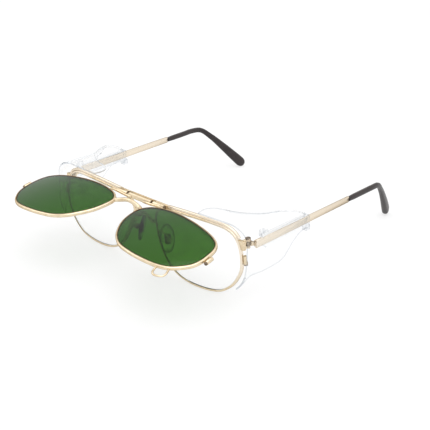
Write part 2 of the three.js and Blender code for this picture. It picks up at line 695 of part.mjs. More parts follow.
// Edges of the shell from front to rear, as shares of its length, depth, height and flap reach.
const SHIELD_LOWER_EDGE = [
  [-0.06, 1.04], [0.12, 1], [0.32, 1], [0.51, 0.91], [0.69, 0.5], [0.83, 0.27], [1, 0.22],
];
const SHIELD_UPPER_EDGE = [
  [-0.05, 1], [0.1, 1], [0.27, 1], [0.47, 1], [0.67, 0.94], [0.85, 0.64], [1, 0.26],
];
const SHIELD_FLAP_EDGE = [
  [-0.04, 1], [0.075, 0.9], [0.16, 0.55], [0.31, 0.27], [0.58, 0.1], [0.8, 0.06], [1, 0.06],
];

// The flap's front end as a share of its reach, and how far back and how sharply the lower edge tucks in.
const SHIELD_FLAP_LEAD = 0.97;
const SHIELD_TUCK_LENGTH = 0.3;
const SHIELD_TUCK_POWER = 5;

// Stations of one row: up the side panel, round the corner in degrees, and along the flap.
const SHIELD_SIDE_STATIONS = [0, 0.12, 0.28, 0.6, 1];
const SHIELD_CORNER_STATIONS = [22.5, 45, 67.5, 90];
const SHIELD_FLAP_STATIONS = [0.5, 1];

function shieldEdge(reach, front, shares, scale) {
  const points = shares.map(([along, share]) => new THREE.Vector2(along * SHIELD_LENGTH, share * scale));
  return new THREE.SplineCurve([new THREE.Vector2(-reach, front), ...points]);
}

function shieldSkin() {
  const panel = shieldInner + SHIELD_THICKNESS / 2;
  const lower = shieldEdge(SHIELD_LOWER_REACH, -SHIELD_LOWER_END, SHIELD_LOWER_EDGE, -SHIELD_BELOW);
  const upper = shieldEdge(SHIELD_CORNER_REACH, shieldTop, SHIELD_UPPER_EDGE, shieldTop);
  const flapEnd = SHIELD_FLAP_REACH * SHIELD_FLAP_LEAD;
  const flap = shieldEdge(SHIELD_FLAP_FRONT, flapEnd, SHIELD_FLAP_EDGE, SHIELD_FLAP_REACH);
  const { lerp } = THREE.MathUtils;
  return shell(Array.from({ length: SHIELD_ROWS }, (_, i) => {
    const share = i / (SHIELD_ROWS - 1);
    const low = lower.getPoint(share);
    const high = upper.getPoint(share);
    const edge = flap.getPoint(share);
    const radius = Math.min(SHIELD_CORNER_RADIUS, edge.y * 0.9);
    const rise = Math.min(radius, shieldTop - shieldShoulder);
    const tuck = SHIELD_TUCK * Math.max(0, 1 - share / SHIELD_TUCK_LENGTH) ** 2;
    const side = SHIELD_SIDE_STATIONS.map((k) => {
      const inward = tuck * (1 - k) ** SHIELD_TUCK_POWER;
      return vec(panel - inward, lerp(low.x, high.x, k), lerp(low.y, high.y - rise, k));
    });
    const corner = SHIELD_CORNER_STATIONS.map((degrees) => {
      const angle = radians(degrees);
      return vec(panel - radius * (1 - Math.cos(angle)), high.x, high.y - rise * (1 - Math.sin(angle)));
    });
    const top = SHIELD_FLAP_STATIONS.map((k) => (
      vec(panel - lerp(radius, edge.y, k), lerp(high.x, edge.x, k), high.y)));
    return [...side, ...corner, ...top];
  }), SHIELD_THICKNESS);
}

// The shell with its sleeve, which has an upright tab at the front and a lug under the rear end.
function sideShield() {
  const slotHeight = TEMPLE_FRONT_HEIGHT / 2 + SLIDE_GAP;
  const slot = [HINGE_INSET - SLIDE_GAP, HINGE_INSET + TEMPLE_THICKNESS + SLIDE_GAP];
  const height = slotHeight + SLEEVE_WALL;
  const across = [slot[0] - SLEEVE_WALL, shieldInner + SHIELD_THICKNESS / 2];
  const tabStart = SLEEVE_START - SLEEVE_TAB_LEAD;
  const lugEnd = SHIELD_LENGTH + SLEEVE_LUG_TAIL;
  const sleeve = cut(
    block(across, [SLEEVE_START, SHIELD_LENGTH], [-height, height]),
    block(slot, [0, SHIELD_LENGTH * 2], [-slotHeight, slotHeight]),
  );
  const tab = block(across, [tabStart, tabStart + SLEEVE_TAB_LENGTH], [slotHeight, height + SLEEVE_TAB_RISE]);
  const lug = block(across, [lugEnd - SLEEVE_LUG_LENGTH, lugEnd], [-height - SLEEVE_LUG_DROP, -slotHeight]);
  return join(shieldSkin(), sleeve, tab, lug);
}

// Nose pad, in its own frame: the rocking pin at the origin along Y, the nose towards -X

const forkBack = FORK_WIDTH * 0.85;
const forkSlot = TONGUE_WIDTH / 2 + RUN_GAP;
const forkHeight = FORK_WIDTH * 0.8;
const padBack = -(FORK_WIDTH * 0.28 + RUN_GAP * 2);
const mountWidth = PAD_WIDTH * 0.4;
const mountHeight = PAD_HEIGHT * 0.34;

function padFrame() {
  const turn = new THREE.Euler(0, radians(-PAD_TILT), radians(-PAD_SPLAY), 'ZYX');
  const frame = new THREE.Matrix4().makeRotationFromEuler(turn);
  return frame.setPosition(BRIDGE_WIDTH / 2 + PAD_INSET, PAD_BEHIND, PAD_RISE);
}

function padLoop(x, share) {
  return Array.from({ length: PAD_STEPS }, (_, i) => {
    const angle = (i / PAD_STEPS) * 2 * Math.PI;
    return vec(x, Math.cos(angle) * (PAD_WIDTH / 2) * share, Math.sin(angle) * (PAD_HEIGHT / 2) * share);
  });
}

function nosePad() {
  const front = padBack - PAD_THICKNESS;
  const body = loft([
    padLoop(padBack, 0.8),
    padLoop(padBack - PAD_THICKNESS * 0.2, 0.95),
    padLoop(padBack - PAD_THICKNESS * 0.5, 1),
    padLoop(padBack - PAD_THICKNESS * 0.8, 0.9),
    padLoop(front, 0.62),
  ]);
  const gap = SOLDER_GAP;
  const recess = block(
    [padBack - PAD_MOUNT_DEPTH - gap, padBack + PAD_THICKNESS],
    [-mountWidth / 2 - gap, mountWidth / 2 + gap],
    [-mountHeight / 2 - gap, mountHeight / 2 + gap],
  );
  return cut(body, recess);
}

// Metal plate set in the back of the pad, with the tongue that the fork takes.
function padMount() {
  const plate = block(
    [padBack - PAD_MOUNT_DEPTH, padBack],
    [-mountWidth / 2, mountWidth / 2],
    [-mountHeight / 2, mountHeight / 2],
  );
  const half = TONGUE_WIDTH / 2;
  const round = FORK_WIDTH * 0.3;
  const tongue = join(
    block([padBack - PAD_MOUNT_DEPTH / 2, 0], [-half, half], [-round, round]),
    rod(vec(0, -half, 0), vec(0, half, 0), round),
  );
  const bore = rod(vec(0, -FORK_WIDTH, 0), vec(0, FORK_WIDTH, 0), PAD_PIN_RADIUS + SOLDER_GAP);
  return cut(join(plate, tongue), bore);
}

function padPin() {
  const half = FORK_WIDTH / 2;
  return screw(vec(0, -half - SOLDER_GAP, 0), vec(0, half, 0), PAD_PIN_RADIUS, PAD_PIN_RADIUS * 2);
}

// Wire arm from the back of the rim to the fork that holds the pad.
function padArm() {
  const frame = padFrame();
  const half = FORK_WIDTH / 2;
  const fork = cut(
    block([-FORK_WIDTH * 0.28, forkBack], [-half, half], [-forkHeight / 2, forkHeight / 2]),
    block([-FORK_WIDTH, forkBack * 0.5], [-forkSlot, forkSlot], [-forkHeight, forkHeight]),
    rod(vec(0, -FORK_WIDTH, 0), vec(0, FORK_WIDTH, 0), PAD_PIN_RADIUS + SOLDER_GAP),
  ).applyMatrix4(frame);
  const s = clearEye.nearest(PAD_ARM_ROOT);
  const back = RIM_DEPTH / 2 + SOLDER_GAP;
  const root = clearEye.place(s, LENS_FIT, back);
  const leave = clearEye.place(s, LENS_FIT, back + PAD_ARM_RADIUS * 3);
  const arrive = vec(forkBack + PAD_ARM_RADIUS * 3, 0, PAD_ARM_RADIUS).applyMatrix4(frame);
  const end = vec(forkBack * 0.8, 0, 0).applyMatrix4(frame);
  return join(fork, wire([root, leave, arrive, end], PAD_ARM_RADIUS, 12, vec(0, 0, 1)));
}

// Assembly

const glasses = new THREE.Group();

function add(parent, name, geometry, material) {
  const mesh = new THREE.Mesh(geometry, material);
  mesh.name = name;
  parent.add(mesh);
  return mesh;
}

function group(parent, name) {
  const made = new THREE.Group();
  made.name = name;
  parent.add(made);
  return made;
}

// Tip whose paddle comes down to the level of the rims, so that the glasses rest on both.
function levelTip(temple) {
  let drop = TIP_INWARD * 2;
  let geometry = templeTip(drop);
  temple.updateWorldMatrix(true, false);
  for (let pass = 0; pass < 4; pass += 1) {
    const low = new THREE.Box3().setFromBufferAttribute(
      geometry.clone().applyMatrix4(temple.matrixWorld).attributes.position).min.z;
    drop += low;
    geometry = templeTip(drop);
  }
  return geometry;
}

const SIDES = [
  { side: 'left', mirror: 1, cant: -HINGE_CANT_LEFT },
  { side: 'right', mirror: -1, cant: -HINGE_CANT_RIGHT },
];

const flip = group(glasses, 'flip_axis');
flip.position.copy(flipAxis);
flip.rotation.x = radians(-FLIP_RAISE_ANGLE);

add(glasses, 'brow_bar', browBar(), GOLD);
add(glasses, 'nose_bridge', noseBridge(), GOLD);
add(glasses, 'flip_hinge_plate', flipHingePlate(), GOLD);
add(glasses, 'flip_hinge_pin', flipHingePin(), STEEL);
add(flip, 'flip_hinge_barrel', flipBarrel(), GOLD);
add(flip, 'flip_bridge', flipBridge(), GOLD);
add(flip, 'flip_lift_loop', liftLoop(), GOLD);

for (const { side, mirror, cant } of SIDES) {
  const front = group(glasses, `front_${side}`);
  front.scale.x = mirror;
  add(front, `rim_${side}`, clearEye.rim(), GOLD);
  add(front, `clear_lens_${side}`, clearEye.lens(CLEAR_LENS_THICKNESS), CLEAR);
  add(front, `end_piece_${side}`, endPiece(cant), GOLD);
  add(front, `hinge_screw_${side}`, hingeScrew(cant), STEEL);
  const rimLock = clearEye.lock(clearEye.nearest(RIM_LOCK_PLACE));
  add(front, `rim_lock_${side}`, rimLock.barrel, GOLD);
  add(front, `rim_lock_screw_${side}`, rimLock.screw, STEEL);
  add(front, `pad_arm_${side}`, padArm(), GOLD);

  const pad = group(front, `pad_axis_${side}`);
  padFrame().decompose(pad.position, pad.quaternion, pad.scale);
  add(pad, `nose_pad_${side}`, nosePad(), PAD);
  add(pad, `nose_pad_mount_${side}`, padMount(), STEEL);
  add(pad, `nose_pad_pin_${side}`, padPin(), STEEL);

  const temple = group(front, `temple_axis_${side}`);
  temple.position.copy(hinge);
  temple.rotation.x = radians(-TEMPLE_SLOPE);
  add(temple, `temple_${side}`, templeBar(), GOLD);
  add(temple, `temple_hinge_leaf_${side}`, templeLeaf(cant), GOLD);
  add(temple, `temple_tip_${side}`, levelTip(temple), TIP);
  add(temple, `side_shield_${side}`, sideShield(), SHIELD);

  const flipSide = group(flip, `flip_${side}`);
  flipSide.scale.x = mirror;
  add(flipSide, `flip_rim_${side}`, greenEye.rim(), GOLD);
  add(flipSide, `green_lens_${side}`, greenEye.lens(GREEN_LENS_THICKNESS), GREEN);
  const flipLock = greenEye.lock(greenEye.nearest(FLIP_LOCK_PLACE));
  add(flipSide, `flip_rim_lock_${side}`, flipLock.barrel, GOLD);
  add(flipSide, `flip_lock_screw_${side}`, flipLock.screw, STEEL);
  add(flip, `flip_washer_${side}`, flipWasher(mirror), STEEL);
}

// The origin is the middle of the footprint, on the surface that the glasses rest on.
const bounds = new THREE.Box3().setFromObject(glasses, true);
const footprint = bounds.getCenter(vec(0, 0, 0));
glasses.position.set(-footprint.x, -footprint.y, -bounds.min.z);
glasses.updateMatrixWorld(true);

export default glasses;
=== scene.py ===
"""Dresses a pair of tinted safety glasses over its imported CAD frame.

Sizes are millimetres in the drawing frame of the glasses: the lens front at Y 0, the rims standing on
Z 0 and the wearer's left towards +X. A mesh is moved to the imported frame, in metres, when it is made.
"""

from __future__ import annotations

import json
import logging
import math
from abc import ABC, abstractmethod
from bisect import bisect_left
from dataclasses import dataclass, field
from enum import Enum
from typing import Any, Sequence

import bmesh
import bpy
from mathutils import Euler, Matrix, Vector
from mathutils.kdtree import KDTree

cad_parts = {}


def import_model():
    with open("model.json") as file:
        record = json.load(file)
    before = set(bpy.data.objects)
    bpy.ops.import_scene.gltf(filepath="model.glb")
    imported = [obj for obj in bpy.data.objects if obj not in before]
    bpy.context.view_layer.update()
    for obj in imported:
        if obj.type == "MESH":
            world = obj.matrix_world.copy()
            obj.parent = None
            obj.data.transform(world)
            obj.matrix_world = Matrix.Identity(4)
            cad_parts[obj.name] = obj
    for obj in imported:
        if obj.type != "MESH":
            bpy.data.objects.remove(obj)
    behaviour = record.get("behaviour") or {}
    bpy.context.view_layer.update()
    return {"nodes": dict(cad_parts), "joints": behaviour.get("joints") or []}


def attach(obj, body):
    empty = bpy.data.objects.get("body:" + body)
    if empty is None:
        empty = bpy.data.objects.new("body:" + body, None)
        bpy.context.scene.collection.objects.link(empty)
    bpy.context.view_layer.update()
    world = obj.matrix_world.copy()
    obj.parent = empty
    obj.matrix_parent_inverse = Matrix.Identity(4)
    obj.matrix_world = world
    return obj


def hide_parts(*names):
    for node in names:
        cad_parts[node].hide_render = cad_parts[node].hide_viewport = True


LOG = logging.getLogger("safety_glasses")
MM = 0.001
UP = Vector((0, 0, 1))
WHITE = (1.0, 1.0, 1.0, 1.0)

Pair = tuple[float, float]
Triple = tuple[float, float, float]
Colour = tuple[float, float, float]
Ring = list[Vector]
Seat = tuple[Vector, Vector]
Object = bpy.types.Object
Socket = bpy.types.NodeSocket


class Side(Enum):
    """The wearer's side that a piece is on; the value mirrors its X."""

    LEFT = 1.0
    RIGHT = -1.0

    @property
    def tag(self) -> str:
        """Ending of the names of this side's nodes."""
        return self.name.lower()

    @classmethod
    def both(cls, stem: str) -> tuple[str, ...]:
        """Names of a node on the left and on the right."""
        return tuple(f"{stem}_{side.tag}" for side in cls)

    def at(self, point: Vector) -> Vector:
        """A point of the left side, on this side."""
        return Vector((self.value * point.x, point.y, point.z))

    def ring(self, points: Sequence[Vector]) -> Ring:
        """Points of the left side, on this side."""
        return [self.at(point) for point in points]

    def rings(self, rings: Sequence[Ring]) -> list[Ring]:
        """Rings of the left side, on this side."""
        return [self.ring(ring) for ring in rings]


class Body(Enum):
    """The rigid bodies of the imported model."""

    FRONT = "front"
    FLIP = "flip_front"
    TEMPLE = "temple"
    SHIELD = "shield"
    PAD = "pad"

    def on(self, side: Side) -> str:
        """Name of the body of this kind on a side."""
        return f"{self.value}_{side.tag}"


class Mark(Enum):
    """Vertex marks that change a finish where they are 1."""

    # Painted shade along the edges of clear parts, where light bends at the edge.
    EDGE = "edge"
    # Painted shade: dark brown in hinge slits, hinge knuckles, rim lips and pad mounts, where shade falls.
    GRIME = "grime"
    # Painted highlight: paler gold where the wire catches the light.
    BRUSHING = "brushing"


class Ease(Enum):
    """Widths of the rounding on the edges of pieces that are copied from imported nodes."""

    WASHER = 0.05
    FORK = 0.06
    TEMPLE = 0.12
    BARREL = 0.15
    CORNER = 0.18
    HINGE = 0.2


# Curves


class SmoothPath:
    """Centripetal Catmull-Rom curve through points, read by the share of its length."""

    DIVISIONS = 240
    CLOSE = 1e-4
    NUDGE = 1e-4
    SHORT = 1e-9

    def __init__(self, points: Sequence[Vector], closed: bool = False) -> None:
        """Measures the curve.

        Args:
            points: The points that it passes through.
            closed: Whether the last point joins the first.
        """
        self.points = [point.copy() for point in points]
        self.closed = closed
        spots = [self._at(i / self.DIVISIONS) for i in range(self.DIVISIONS + 1)]
        self.lengths = [0.0]
        for here, there in zip(spots, spots[1:]):
            self.lengths.append(self.lengths[-1] + (there - here).length)

    def _corner(self, index: int) -> Vector:
        """The point with that index, carried on past an open end.

        Args:
            index: Index of a point, or one step past either end.

        Returns:
            The point.
        """
        count = len(self.points)
        if self.closed:
            return self.points[index % count]
        if index < 0:
            return self.points[0] * 2 - self.points[1]
        if index >= count:
            return self.points[-1] * 2 - self.points[-2]
        return self.points[index]

    def _at(self, t: float) -> Vector:
        """The point at the curve's own parameter.

        Args:
            t: Parameter from 0 to 1.

        Returns:
            The point.
        """
        spans = len(self.points) - (0 if self.closed else 1)
        index = min(int(t * spans), spans - 1)
        w = t * spans - index
        p0, p1, p2, p3 = (self._corner(index + k) for k in (-1, 0, 1, 2))
        d1 = max((p2 - p1).length ** 0.5, self.CLOSE)
        beside = ((p1 - p0).length ** 0.5, (p3 - p2).length ** 0.5)
        d0, d2 = (d if d > self.CLOSE else d1 for d in beside)
        leave = ((p1 - p0) / d0 - (p2 - p0) / (d0 + d1) + (p2 - p1) / d1) * d1
        arrive = ((p2 - p1) / d1 - (p3 - p1) / (d1 + d2) + (p3 - p2) / d2) * d1
        square = 3 * (p2 - p1) - 2 * leave - arrive
        cube = 2 * (p1 - p2) + leave + arrive
        return p1 + w * (leave + w * (square + w * cube))

    def _parameter(self, share: float) -> float:
        """The curve's own parameter at a share of its length.

        Args:
            share: The share, turned round on a closed curve and held to the ends of an open one.

        Returns:
            The parameter.
        """
        target = (share % 1.0 if self.closed else min(max(share, 0.0), 1.0)) * self.lengths[-1]
        index = min(max(bisect_left(self.lengths, target), 1), self.DIVISIONS)
        low, high = self.lengths[index - 1], self.lengths[index]
        return (index - 1 + (target - low) / max(high - low, self.SHORT)) / self.DIVISIONS

    def point(self, share: float) -> Vector:
        """The point at a share of the length."""
        return self._at(self._parameter(share))

    def heading(self, share: float) -> Vector:
        """The direction of travel at a share of the length."""
        t = self._parameter(share)
        return (self._at(min(t + self.NUDGE, 1.0)) - self._at(max(t - self.NUDGE, 0.0))).normalized()

    def spots(self, count: int) -> list[Vector]:
        """Evenly spaced points from end to end."""
        return [self.point(i / (count - 1)) for i in range(count)]


def lerp(low: float, high: float, share: float) -> float:
    """The value a share of the way from low to high."""
    return low + (high - low) * share


def smoothstep(value: float, low: float, high: float) -> float:
    """Smooth rise from 0 at low to 1 at high."""
    share = min(max((value - low) / (high - low), 0.0), 1.0)
    return share * share * (3 - 2 * share)


def spline_pair(points: Sequence[Pair], t: float) -> Pair:
    """Uniform Catmull-Rom curve through pairs of numbers.

    Args:
        points: The pairs that it passes through.
        t: Parameter from 0 to 1.

    Returns:
        The pair there.
    """
    last = len(points) - 1
    index = min(int(t * last), last - 1)
    w = t * last - index
    picked = [points[min(max(index + k, 0), last)] for k in (-1, 0, 1, 2)]

    def one(a: float, b: float, c: float, d: float) -> float:
        """One coordinate of the pair."""
        leave, arrive = (c - a) / 2, (d - b) / 2
        return b + w * (leave + w * (3 * (c - b) - 2 * leave - arrive + w * (2 * (b - c) + leave + arrive)))

    return one(*(p[0] for p in picked)), one(*(p[1] for p in picked))


CROWDED_ENDS = (0.0, 1.0, 2.2)
CROWDED_FIRST = 4.0


def crowded(count: int, step: float) -> list[float]:
    """Shares from 0 to 1 with three short steps at each end.

    Args:
        count: Even steps between the crowded ends.
        step: Length of the first short step.

    Returns:
        The shares, rising.
    """
    ends = [step * growth for growth in CROWDED_ENDS]
    first = step * CROWDED_FIRST
    middle = [lerp(first, 1 - first, i / count) for i in range(count + 1)]
    return [*ends, *middle, *(1 - share for share in reversed(ends))]


def rounded_bar(width: float, height: float, radius: float, steps: int = 4, flank: float = 0.0) -> list[Pair]:
    """Rectangle with rounded corners.

    Args:
        width: Size across.
        height: Size up.
        radius: Corner radius.
        steps: Points after the first on each corner.
        flank: Distance to one more point on the flats beside each corner, or 0 for none.

    Returns:
        Points round the section.
    """
    across, up = width / 2 - radius, height / 2 - radius
    points: list[Pair] = []
    for x, y, start in ((across, up, 0), (-across, up, 90), (-across, -up, 180), (across, -up, 270)):
        angles = [math.radians(start + 90 * i / steps) for i in range(steps + 1)]
        arc = [(x + radius * math.cos(a), y + radius * math.sin(a)) for a in angles]
        if flank:
            c, s = flank * math.cos(angles[0]), flank * math.sin(angles[0])
            arc = [(arc[0][0] + s, arc[0][1] - c), *arc, (arc[-1][0] - c, arc[-1][1] - s)]
        points += arc
    return points


def oval(width: float, height: float, power: float, count: int) -> list[Pair]:
    """Superellipse, squarer as the power grows past 2.

    Args:
        width: Size across.
        height: Size up.
        power: Exponent of the outline.
        count: Number of points.

    Returns:
        Points round the section.
    """

    def reach(wave: float, size: float) -> float:
        """One coordinate, from the cosine or sine of its angle."""
        return math.copysign(abs(wave) ** (2 / power), wave) * size / 2

    angles = [2 * math.pi * i / count for i in range(count)]
    return [(reach(math.cos(angle), width), reach(math.sin(angle), height)) for angle in angles]


def lengthened(path: Sequence[Vector], extra: float) -> list[Vector]:
    """Carries both ends of a path on, so that a soldered wire meets its rim.

    Args:
        path: Points along the wire.
        extra: Length added to each end.

    Returns:
        The longer path.
    """
    start = path[0] + (path[0] - path[1]).normalized() * extra
    end = path[-1] + (path[-1] - path[-2]).normalized() * extra
    return [start, *path[1:-1], end]


# Node trees and finishes


class NodeWriter:
    """Short way to write the nodes of a tree."""

    def __init__(self, tree: bpy.types.NodeTree) -> None:
        """Keeps the tree."""
        self.tree = tree

    def add(self, kind: str, inputs: dict[str | int, Any] | None = None, **settings: Any) -> bpy.types.Node:
        """Adds a node.

        Args:
            kind: The node's type.
            inputs: Socket names or indices with a value, or a socket to link from.
            settings: Properties of the node.

        Returns:
            The node.
        """
        node = self.tree.nodes.new(kind)
        for key, value in settings.items():
            setattr(node, key, value)
        for key, value in (inputs or {}).items():
            if isinstance(value, Socket):
                self.link(value, node.inputs[key])
            else:
                node.inputs[key].default_value = value
        return node

    def made(self, kind: str, inputs: dict[str | int, Any] | None = None, **settings: Any) -> Socket:
        """First output of a node that is added."""
        return self.add(kind, inputs, **settings).outputs[0]

    def link(self, start: Socket, end: Socket) -> None:
        """Links an output to an input."""
        self.tree.links.new(start, end)


class ShaderTree(NodeWriter):
    """The nodes of a material."""

    NOISE_SPREAD: Pair = (0.3, 0.7)

    def __init__(self, name: str) -> None:
        """Starts a material with an output and nothing else.

        Args:
            name: The material's name.
        """
        self.material = bpy.data.materials.new(name)
        self.material.use_nodes = True
        super().__init__(self.material.node_tree)
        self.tree.nodes.clear()
        self.output = self.add("ShaderNodeOutputMaterial")

    def noise(self, scale: float, detail: float, stretch: Triple = (1.0, 1.0, 1.0)) -> Socket:
        """Noise on Object coordinates.

        Args:
            scale: Lumps per metre.
            detail: Octaves of finer noise.
            stretch: Scale along each axis.

        Returns:
            The noise's factor.
        """
        place = self.add("ShaderNodeTexCoord").outputs["Object"]
        mapped = self.made("ShaderNodeMapping", {"Vector": place, "Scale": stretch})
        return self.made("ShaderNodeTexNoise", {"Vector": mapped, "Scale": scale, "Detail": detail})

    def span(self, factor: Socket, low: float, high: float) -> Socket:
        """Turns a noise factor into a value between two limits.

        Args:
            factor: The noise.
            low: Value where it is weak.
            high: Value where it is strong.

        Returns:
            The value.
        """
        weak, strong = self.NOISE_SPREAD
        inputs = {"Value": factor, "From Min": weak, "From Max": strong, "To Min": low, "To Max": high}
        return self.made("ShaderNodeMapRange", inputs)

    def tint(self, factor: Socket, low: Colour, high: Colour) -> Socket:
        """Turns a noise factor into a colour between two colours.

        Args:
            factor: The noise.
            low: Colour where it is weak.
            high: Colour where it is strong.

        Returns:
            The colour.
        """
        ramp = self.add("ShaderNodeValToRGB", {"Fac": factor})
        for element, place, colour in zip(ramp.color_ramp.elements, self.NOISE_SPREAD, (low, high)):
            element.position = place
            element.color = (*colour, 1.0)
        return ramp.outputs["Color"]

    def marked(self, mark: Mark, plain: Any, colour: Colour) -> Socket:
        """Turns to a colour where the mesh is marked.

        Args:
            mark: The mark, 0 on a mesh without it.
            plain: Colour or colour socket elsewhere.
            colour: Colour at the mark.

        Returns:
            The colour.
        """
        factor = self.add("ShaderNodeAttribute", attribute_name=mark.value).outputs["Fac"]
        # The colour sockets of this node share their names with others, so they go by index.
        inputs = {0: factor, 6: plain, 7: (*colour, 1.0)}
        return self.add("ShaderNodeMix", inputs, data_type="RGBA").outputs[2]

    def bump(self, height: Socket, depth: float, strength: float) -> Socket:
        """Bump from a height factor, with its depth in millimetres."""
        return self.made("ShaderNodeBump", {"Height": height, "Distance": depth * MM, "Strength": strength})

    def finish(self, inputs: dict[str, Any]) -> bpy.types.Material:
        """Ends the tree in one principled shader with those inputs and returns the material."""
        self.link(self.made("ShaderNodeBsdfPrincipled", inputs), self.output.inputs["Surface"])
        return self.material


@dataclass(frozen=True)
class Finish(ABC):
    """One material slot of the record."""

    slot: str

    @abstractmethod
    def write(self, tree: ShaderTree) -> bpy.types.Material:
        """Writes the shader nodes and returns the material."""

    def material(self) -> bpy.types.Material:
        """The slot's material, made on first use."""
        name = f"{self.slot}_finish"
        return bpy.data.materials.get(name) or self.write(ShaderTree(name))


@dataclass(frozen=True)
class PolishedMetal(Finish):
    """Plated wire or plain steel with an uneven polish, with a painted highlight where marked pale and
    painted shade where marked brown.
    """

    dull: Colour
    bright: Colour
    edge: Colour
    roughness: Pair
    brushed: Colour = (0.89, 0.79, 0.65)
    shade: Colour = (0.1, 0.06, 0.03)

    def write(self, tree: ShaderTree) -> bpy.types.Material:
        """Writes the shader nodes.

        Args:
            tree: The material's tree.

        Returns:
            The material.
        """
        wear = tree.noise(scale=420.0, detail=4.0)
        drawn = tree.noise(scale=2600.0, detail=2.0)
        # The pale colour is a painted highlight on the marked wire.
        plating_with_highlight = tree.marked(Mark.BRUSHING, tree.tint(wear, self.dull, self.bright), self.brushed)
        return tree.finish(
            {
                # The dark brown is painted shade where the mesh is marked.
                "Base Color": tree.marked(Mark.GRIME, plating_with_highlight, self.shade),
                "Metallic": 1.0,
                "Specular Tint": (*self.edge, 1.0),
                "Roughness": tree.span(drawn, *self.roughness),
                "Normal": tree.bump(drawn, depth=0.02, strength=0.12),
            }
        )


@dataclass(frozen=True)
class ClearSolid(Finish):
    """Glass or clear plastic, tinted through its thickness, with painted shade along its marked edges."""

    edge: Colour
    tint: Colour
    density: float
    ior: float
    roughness: Pair
    coat: float = 0.0

    def write(self, tree: ShaderTree) -> bpy.types.Material:
        """Writes the shader nodes.

        Args:
            tree: The material's tree.

        Returns:
            The material.
        """
        smear = tree.noise(scale=90.0, detail=3.0)
        ripples = tree.noise(scale=45.0, detail=1.0)
        through = {"Color": (*self.tint, 1.0), "Density": self.density}
        tree.link(tree.made("ShaderNodeVolumeAbsorption", through), tree.output.inputs["Volume"])
        return tree.finish(
            {
                # The edge colour is painted shade along the marked edges.
                "Base Color": tree.marked(Mark.EDGE, WHITE, self.edge),
                "Transmission Weight": 1.0,
                "IOR": self.ior,
                "Coat Weight": self.coat,
                "Coat Roughness": 0.04,
                "Coat IOR": 1.5,
                "Roughness": tree.span(smear, *self.roughness),
                "Normal": tree.bump(ripples, depth=0.004, strength=0.2),
            }
        )


@dataclass(frozen=True)
class MouldedPlastic(Finish):
    """Dark plastic with a fine moulded surface."""

    dark: Colour
    light: Colour
    roughness: Pair

    def write(self, tree: ShaderTree) -> bpy.types.Material:
        """Writes the shader nodes.

        Args:
            tree: The material's tree.

        Returns:
            The material.
        """
        cloud = tree.noise(scale=160.0, detail=4.0, stretch=(1.0, 0.35, 1.0))
        grain = tree.noise(scale=3800.0, detail=2.0)
        return tree.finish(
            {
                "Base Color": tree.tint(cloud, self.dark, self.light),
                "Roughness": tree.span(grain, *self.roughness),
                "IOR": 1.46,
                "Normal": tree.bump(grain, depth=0.03, strength=0.25),
            }
        )


GOLD = PolishedMetal(
    "gold_wire",
    dull=(0.74, 0.6, 0.41),
    bright=(0.87, 0.74, 0.54),
    edge=(0.4, 0.33, 0.25),
    roughness=(0.2, 0.32),
)
STEEL = PolishedMetal(
    "screw_steel",
    dull=(0.2, 0.15, 0.11),
    bright=(0.36, 0.28, 0.2),
    edge=(0.3, 0.28, 0.26),
    roughness=(0.3, 0.45),
)
# The edge colours of the clear finishes below are painted shade along their edges.
CLEAR_GLASS = ClearSolid(
    "clear_lens",
    edge=(0.6, 0.66, 0.62),
    tint=(0.85, 0.95, 0.9),
    density=12.0,
    ior=1.45,
    roughness=(0.0, 0.02),
)
GREEN_GLASS = ClearSolid(
    "green_lens",
    edge=(0.1, 0.14, 0.07),
    tint=(0.31, 0.577, 0.05),
    density=2650.0,
    ior=1.3,
    roughness=(0.0, 0.03),
)
# A shell this thin traps light at the index of real plastic, so its gloss is a coat instead.
SHIELD_PLASTIC = ClearSolid(
    "clear_shield",
    edge=(0.58, 0.605, 0.635),
    tint=(0.85, 0.88, 0.91),
    density=80.0,
    ior=1.03,
    roughness=(0.02, 0.06),
    coat=1.0,
)
PAD_PLASTIC = ClearSolid(
    "pad_plastic",
    edge=(0.26, 0.28, 0.26),
    tint=(0.8, 0.84, 0.8),
    density=180.0,
    ior=1.1,
    roughness=(0.04, 0.14),
    coat=0.5,
)
TIP_PLASTIC = MouldedPlastic(
    "tip_plastic",
    dark=(0.019, 0.013, 0.013),
    light=(0.04, 0.03, 0.029),
    roughness=(0.28, 0.42),
)


# Making and fitting pieces


class ShapeTree(NodeWriter):
    """A Geometry Nodes tree with named inputs, from a path or points to a dressed mesh."""

    def __init__(self, name: str, sizes: Sequence[str]) -> None:
        """Starts a tree.

        Args:
            name: The tree's name.
            sizes: Names of its inputs, each a length or a count.
        """
        super().__init__(bpy.data.node_groups.new(name, "GeometryNodeTree"))

        def socket(label: str, kind: str, way: str = "INPUT") -> str:
            """Adds an input or output to the tree and returns its identifier."""
            made = self.tree.interface.new_socket(label, in_out=way, socket_type=f"NodeSocket{kind}")
            return made.identifier

        socket("Path", "Geometry")
        self.keys = {size: socket(size, "Float") for size in sizes}
        self.keys["Finish"] = socket("Finish", "Material")
        socket("Mesh", "Geometry", "OUTPUT")
        self.source = self.add("NodeGroupInput")
        self.target = self.add("NodeGroupOutput")

    def size(self, name: str) -> Socket:
        """Socket of a named input."""
        return self.source.outputs[name]

    def scaled(self, value: Socket, factor: float) -> Socket:
        """A value times a factor."""
        return self.made("ShaderNodeMath", {0: value, 1: factor}, operation="MULTIPLY")

    def close(self, mesh: Socket) -> None:
        """Ends the tree: instances made real, then the finish.

        Args:
            mesh: What the tree makes.
        """
        real = self.made("GeometryNodeRealizeInstances", {0: mesh})
        dressed = self.made("GeometryNodeSetMaterial", {"Geometry": real, "Material": self.size("Finish")})
        self.link(dressed, self.target.inputs[0])


